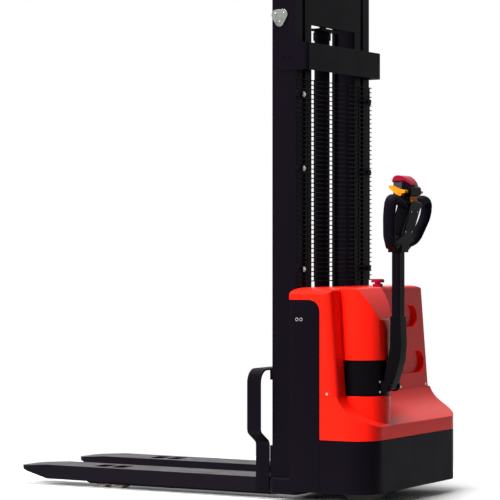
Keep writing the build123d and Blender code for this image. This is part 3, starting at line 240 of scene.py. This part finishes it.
steel = bare_steel("bare_steel", (0.42, 0.41, 0.40, 1), 0.34, (1, 12, 1))
zinc = bare_steel("zinc_plate", (0.62, 0.61, 0.57, 1), 0.32, (6, 6, 6))
brown_tread = worn_tread("brown_tread", (0.21, 0.165, 0.135, 1), (0.075, 0.064, 0.056, 1), 0.48)
dress("bogie_pins", zinc, 0.0006)
for side in ("near", "far"):
    dress(f"bogie_{side}", steel, 0.0006)
    for end in ("front", "rear"):
        dress(f"load_roller_{end}_{side}", brown_tread, 0)

# Chassis: foot beam, bulkhead and deck plate in one weldment, with folded side plates
# and a black skirt round the rear. Pressed zinc lips line the side plates' wiring holes.
for node in ("chassis_frame", "rear_skirt"):
    dress(node, black_paint, 0.0015)
for side in ("near", "far"):
    dress(f"side_plate_{side}", black_paint, 0)


def turned(mesh, centre, axis, profile, sides=24):
    """Revolve (radius, height) pairs about an axis; radius 0 closes an end."""
    turn = Vector((0, 0, 1)).rotation_difference(Vector(axis)).to_matrix()
    rings = []
    for radius, height in profile:
        count = sides if radius > 0 else 1
        angles = [2 * math.pi * k / sides for k in range(count)]
        ring = [Vector((radius * math.cos(a), radius * math.sin(a), height)) for a in angles]
        rings.append([mesh.verts.new(Vector(centre) + turn @ p) for p in ring])
    for low, high in zip(rings, rings[1:]):
        for k in range(sides):
            corners = [low[k % len(low)], low[(k + 1) % len(low)]]
            corners += [high[(k + 1) % len(high)], high[k % len(high)]]
            unique = list(dict.fromkeys(corners))
            if len(unique) > 2:
                mesh.faces.new(unique)


def piece_of(name, mesh, finish, body):
    """Turn a mesh into a named piece that rides on a body."""
    bmesh.ops.recalc_face_normals(mesh, faces=mesh.faces)
    data = bpy.data.meshes.new(name)
    mesh.to_mesh(data)
    mesh.free()
    data.shade_smooth()
    data.set_sharp_from_angle(angle=0.7)
    data.materials.append(finish)
    piece = bpy.data.objects.new(name, data)
    bpy.context.scene.collection.objects.link(piece)
    if body:
        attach(piece, body)
    return piece


plate_low, plate_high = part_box("side_plate_near")
hole_spacing = 0.018
hole_x = plate_low.x + 0.042
hole_z = plate_high.z - 0.075
lip_line = ((0.0048, -0.003), (0.0048, 0.0008), (0.0066, 0.0008), (0.0070, 0.0), (0.0066, -0.0006))
lips = bmesh.new()
for side in (-1, 1):
    for step in (-0.5, 0.5):
        place = (hole_x + step * hole_spacing, -side * plate_low.y, hole_z)
        turned(lips, place, (0, side, 0), lip_line, sides=20)
piece_of("hole_lips", lips, zinc, "chassis")

# Covers: two smooth red mouldings over the battery and drive, one above the other, with
# a narrow joint between them and small zinc screws along it.


def red_moulding(name, colour, painted_sheen, roughness):
    """Glossy moulded cover: faint waviness, fine scuffs, and a painted pinkish sheen on faces that
    look up.
    """
    finish, shade, shader = finish_of(name, colour, roughness, gloss=0.07)
    cloud = grain(shade, 5.0)
    scuff = grain(shade, 90.0, 8.0, 0.7).band(0.60, 0.78)
    # painted sheen: faces that look up are mixed towards a paler pinkish red, in cloudy patches and
    # scuffs
    dust_and_sheen = facing_up(shade) * (cloud * 0.30 + scuff * 0.25)
    connect(
        shade,
        shader,
        Base_Color=dust_and_sheen.mix(colour, painted_sheen),
        Roughness=cloud * 0.12 + (roughness - 0.06) + scuff * 0.18,
        Normal=bumped(shade, grain(shade, 14.0, 1.0), 0.10, 0.002),
    )
    return finish


def socket_screw(mesh, place, axis, radius):
    """Low round head with a hexagon socket."""
    bowl = radius * 0.5
    profile = (
        (0, 0),
        (radius, 0),
        (radius * 0.96, radius * 0.3),
        (radius * 0.7, radius * 0.5),
        (bowl, radius * 0.52),
        (bowl * 0.96, radius * 0.2),
        (0, radius * 0.2),
    )
    turned(mesh, place, axis, profile, sides=18)


# the second colour is a painted pinkish sheen for the covers' upward faces
red_cover = red_moulding("red_cover", (0.86, 0.0105, 0.0040, 1), (0.86, 0.075, 0.055, 1), 0.24)
for node in ("lower_cover", "upper_cover"):
    dress(node, red_cover, 0.0032)

upper_low, upper_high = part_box("upper_cover")
seam_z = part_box("lower_cover")[1].z
panel_foot_x = upper_low.x + 0.203
panel_slope = (1, 0, 0.08)
side_screw_x = upper_low.x + 0.163
seam_screw = 0.005
seam_screws = bmesh.new()
for y in (0.142, 0.375):
    socket_screw(seam_screws, (panel_foot_x, y, seam_z + 0.010), panel_slope, seam_screw)
for side in (-1, 1):
    place = (side_screw_x, side * upper_high.y, seam_z + 0.011)
    socket_screw(seam_screws, place, (0, side, 0), seam_screw)
piece_of("seam_screws", seam_screws, zinc, "chassis")

# Outer mast: two rolled channels on the foot beam, tied behind, sprayed black. A zinc
# three-cornered cap with three screws covers the end of each upper roller stub.
for node in ("outer_rail_near", "outer_rail_far", "outer_ties"):
    dress(node, black_paint, 0.0015)
dress("upper_mast_rollers", steel, 0.001)


def hull_plate(mesh, discs, low_y, high_y, sides=20):
    """Flat plate from one Y to another, round discs given as x, z and radius."""
    rim = []
    for x, z, radius in discs:
        for k in range(sides):
            a = 2 * math.pi * k / sides
            for y in (low_y, high_y):
                rim.append(mesh.verts.new((x + radius * math.cos(a), y, z + radius * math.sin(a))))
    bmesh.ops.convex_hull(mesh, input=rim, use_existing_faces=False)


def rounded(piece, width):
    """Round a piece's sharp edges with a bevel."""
    bevel = piece.modifiers.new("round_edges", "BEVEL")
    bevel.width = width
    bevel.segments = 3
    return piece


cap_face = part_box("roller_caps")[1].y
stub_low, stub_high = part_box("upper_mast_rollers")
stub = (stub_low + stub_high) / 2
cap_corner = 0.020
cap_reach = 0.018
cap_thick = 0.009
screw_circle = 0.022
screw_sink = 0.0004
cap_zinc = bare_steel("dull_zinc", (0.33, 0.36, 0.33, 1), 0.30, (5, 5, 5))
caps = bmesh.new()
cap_screws = bmesh.new()
for side in (-1, 1):
    corners = []
    for turn in (30, 150, 270):
        out = Vector((math.cos(math.radians(turn)), 0, math.sin(math.radians(turn))))
        corners.append((stub.x + cap_reach * out.x, stub.z + cap_reach * out.z, cap_corner))
        place = Vector((stub.x, side * (cap_face - screw_sink), stub.z)) + screw_circle * out
        socket_screw(cap_screws, place, (0, side, 0), 0.0062)
    hull_plate(caps, corners, side * (cap_face - cap_thick), side * cap_face)
cap_plates = rounded(piece_of("roller_cap_plates", caps, cap_zinc, "chassis"), 0.003)
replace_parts(cap_plates, "roller_caps")
piece_of("cap_screws", cap_screws, steel, "chassis")

# Band: one steel plate bent round the back of the mast and painted with it. Two socket
# screws hold each end to the rail's outer face.
dress("mast_band", black_paint, 0.0012)
band_low, band_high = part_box("mast_band")
band_z = (band_low.z + band_high.z) / 2
band_bolts = bmesh.new()
for side in (-1, 1):
    for x in (band_low.x + 0.040, band_low.x + 0.066):
        socket_screw(band_bolts, (x, side * band_high.y, band_z), (0, side, 0), 0.006)
piece_of("band_bolts", band_bolts, black_paint, "chassis")

# Guard: level wires welded to uprights and coated black. Small brackets hold it off the
# mast, with pale zinc bolts on the near side and painted ones on the far side.
guard_low, guard_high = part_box("guard_mesh")
wire_radius = 0.0021
wire_pitch = 0.0183
wire_overlap = 0.4 * wire_radius
upright_count = 7
end_reach = 0.024


def tube(mesh, points, radius, sides=8, deep=None, stretch=1.0):
    """Round bar along a line of points, closed at both ends, or oval along one direction."""
    rings = []
    for index, point in enumerate(points):
        ahead = Vector(points[min(index + 1, len(points) - 1)])
        behind = Vector(points[max(index - 1, 0)])
        along = (ahead - behind).normalized()
        across = deep or along.orthogonal().normalized()
        if rings:
            across = (last - along * last.dot(along)).normalized()
        last = across
        up = along.cross(across)
        turns = [2 * math.pi * k / sides for k in range(sides)]
        ring = [stretch * math.cos(a) * across + math.sin(a) * up for a in turns]
        rings.append([mesh.verts.new(Vector(point) + radius * p) for p in ring])
    for low, high in zip(rings, rings[1:]):
        for k in range(sides):
            mesh.faces.new((low[k], low[(k + 1) % sides], high[(k + 1) % sides], high[k]))
    mesh.faces.new(rings[0])
    mesh.faces.new(rings[-1])


guard_wires = bmesh.new()
wire_x = (guard_low.x + guard_high.x) / 2
upright_x = wire_x + 2 * wire_radius - wire_overlap
row_count = round((guard_high.z - guard_low.z) / wire_pitch)
row_step = (guard_high.z - guard_low.z - 2 * wire_radius) / row_count
for row in range(row_count + 1):
    z = guard_low.z + wire_radius + row * row_step
    tube(guard_wires, ((wire_x, guard_low.y, z), (wire_x, guard_high.y, z)), wire_radius)
upright_step = (guard_high.y - guard_low.y - 2 * end_reach) / (upright_count - 1)
for upright in range(upright_count):
    y = guard_low.y + end_reach + upright * upright_step
    tube(guard_wires, ((upright_x, y, guard_low.z), (upright_x, y, guard_high.z)), wire_radius)
guard = piece_of("guard_wires", guard_wires, black_paint, "chassis")
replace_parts(guard, "guard_mesh")
dress("guard_brackets", black_paint, 0.0008)


def hex_bolt(mesh, place, axis, across):
    """Washer and hexagon head standing on a face."""
    washer, corner, crown = across * 0.78, across * 0.56, across * 0.5
    turned(mesh, place, axis, ((0, 0), (washer, 0), (washer, 0.0012), (0, 0.0012)))
    head = ((0, 0.001), (corner, 0.001), (corner, 0.0045), (crown, 0.0055), (0, 0.0055))
    turned(mesh, place, axis, head, sides=6)


bracket_low, bracket_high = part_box("guard_brackets")
bracket_half = 0.012
bracket_step = 0.393
bolt_foot = bracket_low.z + bracket_half
bolt_levels = (bolt_foot, bolt_foot + bracket_step, bracket_high.z - bracket_half)
bolt_x = guard_high.x + 0.001
bolt_y = guard_high.y - 0.036
bolt_rows = ((-1, "near", zinc, "zinc"), (1, "far", black_paint, "black_paint"))
for side, name, finish, slot in bolt_rows:
    guard_bolts = bmesh.new()
    for z in bolt_levels:
        hex_bolt(guard_bolts, (bolt_x, side * bolt_y, z), (1, 0, 0), 0.013)
    piece_of(f"guard_bolts_{name}", guard_bolts, finish, "chassis")

# Lift cylinder: a painted steel barrel on the foot beam with a screwed gland, and a hard
# chrome rod that lifts the inner mast. A yoke on the gland holds the chain ends.
dress("lift_cylinder", black_paint, 0.0008)
dress("chain_anchors", black_paint, 0.0008)
barrel_low, barrel_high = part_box("lift_cylinder")
barrel_axis = Vector(((barrel_low.x + barrel_high.x) / 2, 0, 0))
jacket_radius = 0.0310
gland_radius = 0.0355
jacket_foot = barrel_low.z + 0.002
gland_z = barrel_high.z - 0.034
jacket_line = (
    (0.0255, jacket_foot),
    (jacket_radius, jacket_foot),
    (jacket_radius, gland_z),
    (gland_radius, gland_z + 0.001),
    (gland_radius, barrel_high.z - 0.002),
    (gland_radius - 0.001, barrel_high.z - 0.001),
    (0.0315, barrel_high.z - 0.001),
)
jacket = bmesh.new()
turned(jacket, barrel_axis, (0, 0, 1), jacket_line, sides=40)
piece_of("barrel_jacket", jacket, black_paint, "chassis")
chrome = finish_of("hard_chrome", (0.68, 0.68, 0.70, 1), 0.09, metallic=1.0)[0]
dress("lift_rod", chrome, 0.0005)

# Inner mast: two rolled beams with a welded head and foot tie, painted black. Steel
# rollers on stubs at its foot run inside the outer channels.
for node in ("inner_rail_near", "inner_rail_far", "inner_ties"):
    dress(node, black_paint, 0.0012)
dress("lower_mast_rollers", steel, 0.001)

# Sheaves and leaf chains: plates on pins, oiled dark steel. The front runs hold the
# carriage, the rear runs the yoke.
dress("chain_sheaves", steel, 0.0006)
oiled_steel = bare_steel("oiled_steel", (0.045, 0.040, 0.038, 1), 0.36, (1, 1, 6))
sheave_low, sheave_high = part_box("chain_sheaves")
sheave = Vector(((sheave_low.x + sheave_high.x) / 2, 0, (sheave_low.z + sheave_high.z) / 2))
sheave_inner_y = 0.048
chain_y = (sheave_high.y + sheave_inner_y) / 2
link_pitch = 0.0127
link_depth = 0.0088
link_half = link_pitch * 0.98
leaf = 0.0030
leaf_step = 0.0033
outer_leaves = (-2 * leaf_step, 0.0, 2 * leaf_step)
inner_leaves = (-leaf_step, leaf_step)
link_sides = 12
link_outline = []
for k in range(link_sides):
    a = 2 * math.pi * k / link_sides
    reach = link_depth / 2 * math.cos(a)
    if abs(math.cos(a)) > 0.1:
        reach += math.copysign(link_half - link_depth / 2, reach)
    link_outline.append((reach, link_depth / 2 * math.sin(a)))


def chain_link(mesh, middle, along, offsets):
    """Oval plates side by side at one place of a chain."""
    side = Vector((0, 1, 0))
    out = along.cross(side)
    outline = [along * reach + out * rise for reach, rise in link_outline]
    for offset in offsets:
        faces = []
        for edge in (-leaf / 2, leaf / 2):
            faces.append([mesh.verts.new(middle + p + side * (offset + edge)) for p in outline])
        for k in range(link_sides):
            after = (k + 1) % link_sides
            mesh.faces.new((faces[0][k], faces[0][after], faces[1][after], faces[1][k]))
        mesh.faces.new(faces[0])
        mesh.faces.new(faces[1])


def leaf_chain(name, path, node):
    """Chain of alternate plates along a path of points, once beside each sheave."""
    mesh = bmesh.new()
    for side in (-1, 1):
        lane = Vector((0, side * chain_y, 0))
        for index, (point, along) in enumerate(path):
            chain_link(mesh, point + lane, along, outer_leaves if index % 2 else inner_leaves)
    chain = piece_of(name, mesh, oiled_steel, None)
    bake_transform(chain)
    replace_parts(chain, node)


front_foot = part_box("chain_front")[0].z
rear_low, rear_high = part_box("chain_rear")
wrap = 0.032
front_x = sheave.x - wrap
rear_x = sheave.x + wrap
upwards = Vector((0, 0, 1))
front_run = []
for step in range(int((sheave.z - front_foot) / link_pitch)):
    front_run.append((Vector((front_x, 0, front_foot + 0.006 + step * link_pitch)), upwards))
for step in range(int(math.pi * wrap / link_pitch) + 1):
    turn = math.pi - step * link_pitch / wrap
    spot = sheave + wrap * Vector((math.cos(turn), 0, math.sin(turn)))
    front_run.append((spot, Vector((math.sin(turn), 0, -math.cos(turn)))))
leaf_chain(
    "front_chains",
    front_run,
    "chain_front",
)
rear_run = []
for step in range(int((rear_high.z - rear_low.z) / link_pitch)):
    rear_run.append((Vector((rear_x, 0, rear_low.z + 0.008 + step * link_pitch)), upwards))
leaf_chain(
    "rear_chains",
    rear_run,
    "chain_rear",
)

# Carriage, forks and backrest: welded plate and bent flat bar, sprayed black. Pallets
# have rubbed the fork tops to bare grey steel, and the paint is scratched along them.
# The grey on the tops is also a painted highlight, lighter where light falls from above.


def rubbed_paint(name, colour, steel_and_highlight):
    """Black paint rubbed through to steel where a face looks up; that lighter grey is also a
    painted highlight.
    """
    finish, shade, shader = finish_of(name, colour, 0.42, gloss=0.02)
    scratch = streaked(shade, (1, 14, 1), 16.0, 8.0)
    # rubbed steel and painted highlight: faces that look up are mixed to a lighter grey
    wear_and_highlight = facing_up(shade) * (scratch.band(0.28, 0.60) * 0.8 + grain(shade, 7.0) * 0.35)
    connect(
        shade,
        shader,
        Base_Color=wear_and_highlight.mix(colour, steel_and_highlight),
        Roughness=0.50 - wear_and_highlight * 0.10,
        Metallic=wear_and_highlight * 0.45,
        Normal=bumped(shade, scratch, 0.12, 0.0004),
    )
    return finish


# the second colour is the fork tops' rubbed steel, also painted lighter as a highlight
fork_paint = rubbed_paint("fork_paint", (0.0052, 0.0040, 0.0060, 1), (0.062, 0.056, 0.064, 1))
for node in ("fork_near", "fork_far"):
    dress(node, fork_paint, 0.002)
dress("fork_carriage", black_paint, 0.0015)
dress("backrest_hoop", black_paint, 0.002)
for level in ("upper", "lower"):
    dress(f"carriage_rollers_{level}", steel, 0.001)

fork_low, fork_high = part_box("fork_near")
hoop_low, hoop_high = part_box("backrest_hoop")
bead = 0.0035
heel_in, heel_out = 0.135, 0.296
heel_x = fork_high.x - 0.001
hoop_x0, hoop_x1 = hoop_low.x + 0.004, hoop_high.x - 0.004


def weld_bead(mesh, start, end, steps):
    """Run of weld metal along a straight joint."""
    start, end = Vector(start), Vector(end)
    tube(mesh, [start.lerp(end, k / steps) for k in range(steps + 1)], bead)


welds = bmesh.new()
for side in (-1, 1):
    y0, y1 = sorted((side * heel_in, side * heel_out))
    weld_bead(welds, (heel_x, y0, fork_high.z), (heel_x, y1, fork_high.z), 40)
    edge_y = -side * fork_low.y
    weld_bead(welds, (hoop_x0, edge_y, fork_high.z), (hoop_x1, edge_y, fork_high.z), 16)
piece_of("fork_welds", welds, black_paint, "carriage")

# Drive unit: cast motor and gearbox over one driven wheel, turning in a ring on the deck
# plate. A moulded black drum covers its top, held by small steel screws.
cast_grey = sprayed_black("cast_grey", (0.045, 0.045, 0.05, 1), (0.10, 0.10, 0.10, 1), 0.55)
for node in ("drive_motor", "drive_gearbox"):
    dress(node, cast_grey, 0.0015)
dress("slew_ring", steel, 0.001)
wheel_tread = worn_tread("wheel_tread", (0.010, 0.008, 0.007, 1), (0.030, 0.023, 0.017, 1), 0.62)
dress("drive_wheel", wheel_tread, 0)

black_plastic = sprayed_black(
    "black_plastic", (0.0028, 0.0022, 0.0032, 1), (0.024, 0.022, 0.025, 1), 0.24
)
dress("steering_drum", black_plastic, 0.0012)
dress("tiller_pin", black_paint, 0.0006)
drum_low, drum_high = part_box("steering_drum")
drum_radius = 0.098
drum_axis = Vector((drum_low.x + drum_radius, (drum_low.y + drum_high.y) / 2, 0))
drum_screws = bmesh.new()
for turn in (-25, 25):
    out = Vector((math.cos(math.radians(turn)), math.sin(math.radians(turn)), 0))
    for z in (drum_low.z + 0.014, drum_low.z + 0.052):
        place = drum_axis + out * (drum_radius - 0.0006) + Vector((0, 0, z))
        socket_screw(drum_screws, place, out, 0.0044)
piece_of("drum_screws", drum_screws, steel, "drive_unit")

# Caster: a pressed zinc fork that swivels on a kingpin under the deck plate, with a dark
# moulded wheel on its axle.
dress("caster_fork", zinc, 0.001)
dress("caster_wheel", wheel_tread, 0)

# Tiller: a moulded boot on the pin, a square painted steel arm, and a moulded control
# head that leans to the operator at the arm's top.
for node in ("tiller_boot", "tiller_head"):
    dress(node, black_plastic, 0.004)
dress("tiller_arm", black_paint, 0.0008)
arm_low, arm_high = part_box("tiller_arm")
arm = (arm_low + arm_high) / 2
head_z = 1.0
lean = Matrix.Rotation(math.radians(18), 4, "Y")
head_base = Matrix.Translation((arm.x, arm.y, head_z)) @ lean
rearward = lean.to_3x3() @ Vector((1, 0, 0))

# Loop grips: bent bars in a thick rubber moulding, one on each side of the head. Corners
# are in the head's own frame: rearward, outward and along it.
grip_rubber = sprayed_black(
    "grip_rubber", (0.0040, 0.0032, 0.0060, 1), (0.024, 0.022, 0.028, 1), 0.6
)
grip_corners = (
    (0.0, 0.030, 0.148),
    (-0.012, 0.150, 0.187),
    (0.004, 0.166, 0.126),
    (0.012, 0.108, 0.012),
    (0.003, 0.030, 0.0),
)
grip_radius = 0.015
grip_depth = 1.6
corner_reach = 0.040
bend_steps = 10
loops = bmesh.new()
for side in (-1, 1):
    corners = [head_base @ Vector((w, side * u, v)) for w, u, v in grip_corners]
    bow = [corners[0]]
    for before, corner, after in zip(corners, corners[1:], corners[2:]):
        start = corner + corner_reach * (before - corner).normalized()
        end = corner + corner_reach * (after - corner).normalized()
        for k in range(bend_steps + 1):
            part = k / bend_steps
            bow.append(start.lerp(corner, part).lerp(corner.lerp(end, part), part))
    bow.append(corners[-1])
    tube(loops, bow, grip_radius, 20, rearward, grip_depth)
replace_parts(piece_of("loop_grips", loops, grip_rubber, "tiller"), "tiller_grips")

# Butterfly and rocker: orange mouldings for the thumbs. Three lobes on each end of one
# shaft through the pod set speed and direction, and the rocker below lifts and lowers.


def bright_plastic(name, colour, roughness):
    """Smooth coloured moulding with a faint handled haze."""
    finish, shade, shader = finish_of(name, colour, roughness, gloss=0.04)
    haze = grain(shade, 60.0, 5.0)
    connect(shade, shader, Roughness=haze * 0.2 + (roughness - 0.1))
    return finish


orange_plastic = bright_plastic("orange_plastic", (0.62, 0.205, 0.009, 1), 0.36)
dress("lift_rocker", orange_plastic, 0.001)

paddle_axis = (arm.x + 0.030, arm.y, 1.199)
paddle_hub = (arm.x + 0.034, 1.198, 0.011)
paddle_tips = (
    (arm.x + 0.005, 1.216, 0.0065),
    (arm.x + 0.062, 1.1985, 0.0055),
    (arm.x + 0.046, 1.187, 0.005),
)
paddle_in, paddle_out = 0.050, 0.080
step_in, step_out = 0.0005, 0.0008
paddles = bmesh.new()
for side in (-1, 1):
    for step, tip in enumerate(paddle_tips):
        face_in = arm.y + side * (paddle_in + step_in * step)
        face_out = arm.y + side * (paddle_out - step_out * step)
        hull_plate(paddles, (paddle_hub, tip), face_in, face_out, 16)
shaft_half = paddle_in + 0.002
shaft_line = ((0, -shaft_half), (0.004, -shaft_half), (0.004, shaft_half), (0, shaft_half))
turned(paddles, paddle_axis, (0, 1, 0), shaft_line, 16)
butterfly = piece_of("butterfly", paddles, orange_plastic, "throttle_paddles")
rounded(butterfly, 0.002)
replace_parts(butterfly, "throttle_paddles")

# Belly pad: a red moulded cap over the pod that narrows to the rear, with a lip down its
# front. It slides on one stem and stops the truck when it is pressed.
red_plastic = bright_plastic("red_plastic", (0.27, 0.0050, 0.022, 1), 0.32)
pad_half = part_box("belly_button")[1].y - arm.y
pad_sole = ((-0.003, 1.241), (0.044, 1.241), (0.071, 1.2222), (0.072, 1.2245))
pad_crown = ((0.066, 1.2345), (0.056, 1.2450), (0.044, 1.2535), (0.032, 1.2590), (0.020, 1.2615))
pad_front = ((0.010, 1.2605), (0.002, 1.2560), (-0.002, 1.2500), (-0.003, 1.2450))
pad_side = pad_sole + pad_crown + pad_front
taper_start, taper_length, taper_most = 0.022, 0.050, 0.020
stem_line = ((0, 1.228), (0.009, 1.228), (0.009, 1.242), (0, 1.242))
pod_frame = Matrix.Translation((arm.x, arm.y, 0))


def slab(mesh, frame_of, centre, size):
    """Rectangular plate in a local frame."""
    shape = Matrix.Translation(centre) @ Matrix.Diagonal((*size, 1))
    bmesh.ops.create_cube(mesh, size=1, matrix=frame_of @ shape)


pad = bmesh.new()
walls = []
for side in (-1, 1):
    wall = []
    for x, z in pad_side:
        taper = taper_most * min(max((x - taper_start) / taper_length, 0), 1)
        wall.append(pad.verts.new((arm.x + x, arm.y + side * (pad_half - taper), z)))
    pad.faces.new(wall)
    walls.append(wall)
for k in range(len(pad_side)):
    pad.faces.new((walls[0][k - 1], walls[0][k], walls[1][k], walls[1][k - 1]))
turned(pad, (arm.x + 0.026, arm.y, 0), (0, 0, 1), stem_line, 20)
slab(pad, pod_frame, (-0.0030, 0, 1.2405), (0.0030, 2 * pad_half - 0.002, 0.0105))
crescent = rounded(piece_of("belly_pad", pad, red_plastic, "belly_button"), 0.004)
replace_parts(crescent, "belly_button")

# Head trim: cheeks fill out the head's waist, grey plates close the pod's sides, and a
# charcoal panel with four steel screws covers the switches in the head's rear face.
grey_plastic = bright_plastic("grey_plastic", (0.034, 0.034, 0.039, 1), 0.45)
charcoal = sprayed_black(
    "charcoal_plastic", (0.0095, 0.0085, 0.0120, 1), (0.03, 0.03, 0.03, 1), 0.45
)
cheek_size = (0.049, 0.022, 0.112)
plate_size = (0.036, 0.0016, 0.022)
plate_y = pad_half + 0.0004
cheeks = bmesh.new()
pod_plates = bmesh.new()
for side in (-1, 1):
    slab(cheeks, head_base, (0.0005, side * 0.043, 0.094), cheek_size)
    slab(pod_plates, pod_frame, (0.020, side * plate_y, 1.2225), plate_size)
rounded(piece_of("head_cheeks", cheeks, black_plastic, "tiller"), 0.005)
rounded(piece_of("pod_plates", pod_plates, grey_plastic, "tiller"), 0.0006)
head_panel = bmesh.new()
slab(head_panel, head_base, (0.0272, 0, 0.098), (0.0016, 0.066, 0.092))
rounded(piece_of("head_panel", head_panel, charcoal, "tiller"), 0.0007)
panel_face = 0.0278
panel_screws = bmesh.new()
for side in (-1, 1):
    for along in (0.058, 0.138):
        place = head_base @ Vector((panel_face, side * 0.027, along))
        socket_screw(panel_screws, place, rearward, 0.0032)
piece_of("panel_screws", panel_screws, steel, "tiller")

# Emergency stop: a red moulded mushroom that presses down into a red collar, screwed
# through the top of the hood.
dress("estop_housing", red_plastic, 0.0006)
dress("estop_button", red_plastic, 0.001)

# Under the hood: a battery in its grey case and the controller's grey box on the deck
# plate, and a cast pump with its tank. The covers hide all three.
for node in ("battery_pack", "motor_controller"):
    dress(node, grey_plastic, 0.002)
dress("pump_unit", cast_grey, 0.002)

# Stage: a round pale floor that fades out to white and keeps the shadow, three soft boxes
# and the photograph's camera, level and 30 degrees off the machine's axis.
floor_radius = 4.0
fade_start, fade_end = 0.8, 1.7
floor_mesh = bmesh.new()
bmesh.ops.create_circle(floor_mesh, cap_ends=True, radius=floor_radius, segments=96)
floor_data = bpy.data.meshes.new("floor")
floor_mesh.to_mesh(floor_data)
floor_mesh.free()
floor = bpy.data.objects.new("floor", floor_data)
bpy.context.scene.collection.objects.link(floor)
floor.location.z = -0.0005
floor_finish, floor_shade, floor_shader = finish_of("pale_floor", (0.90, 0.90, 0.90, 1), 0.9)
distance = floor_shade.node(
    "ShaderNodeVectorMath", {"operation": "LENGTH"}, {0: place_of(floor_shade)}, out="Value"
)
fade = distance.band(fade_start, fade_end)
pale = Shade(floor_shade.tree, floor_shader.outputs[0])
clear = floor_shade.node("ShaderNodeBsdfTransparent")
ground = floor_shade.node("ShaderNodeMixShader", {}, {0: fade, 1: pale, 2: clear})
floor_shade.tree.links.new(ground.socket, floor_shade.tree.nodes["Material Output"].inputs[0])
floor_data.materials.append(floor_finish)

room_light = 0.10
world = bpy.data.worlds.new("studio")
bpy.context.scene.world = world
world.use_nodes = True
sky = Shade(world.node_tree)
seen = sky.node("ShaderNodeLightPath", out="Is Camera Ray")
glossy = sky.node("ShaderNodeLightPath", out="Is Glossy Ray")
through = sky.node("ShaderNodeLightPath", out="Is Transmission Ray")
level = seen.larger(through).larger(glossy).larger(room_light)
background = world.node_tree.nodes["Background"]
background.inputs["Color"].default_value = (1, 1, 1, 1)
sky.tree.links.new(level.socket, background.inputs["Strength"])


def soft_lamp(name, place, target, size, power, glints):
    """Square soft box pointed at a place on the object, with or without glints."""
    lamp = bpy.data.lights.new(name, "AREA")
    lamp.energy = power
    lamp.size = size
    box = bpy.data.objects.new(name, lamp)
    box.location = place
    box.rotation_euler = (Vector(target) - Vector(place)).to_track_quat("-Z", "Y").to_euler()
    box.visible_glossy = glints
    bpy.context.scene.collection.objects.link(box)


soft_lamp("near_box", (-1.2, -5.6, 2.4), (0.4, 0, 0.8), 2.8, 700, False)
soft_lamp("top_box", (0.0, -0.8, 5.2), (0.2, 0, 0.5), 2.4, 340, True)
soft_lamp("far_box", (-2.4, 5.2, 2.4), (0.2, 0, 0.7), 3.0, 300, False)

image_side = 500
focal_pixels = 2276
horizon_row = 246.6
view_turn = math.radians(29.73)
camera_data = bpy.data.cameras.new("photo_camera")
camera_data.sensor_width = 36
camera_data.lens = focal_pixels / image_side * camera_data.sensor_width
camera_data.shift_y = (horizon_row - image_side / 2) / image_side
camera_data.clip_end = 100
camera = bpy.data.objects.new("photo_camera", camera_data)
camera.location = (hoop_low.x + 4.412, -8.079, 0.990)
camera.rotation_euler = (math.pi / 2, 0, view_turn)
bpy.context.scene.collection.objects.link(camera)
bpy.context.scene.camera = camera
bpy.context.scene.view_settings.view_transform = "Standard"
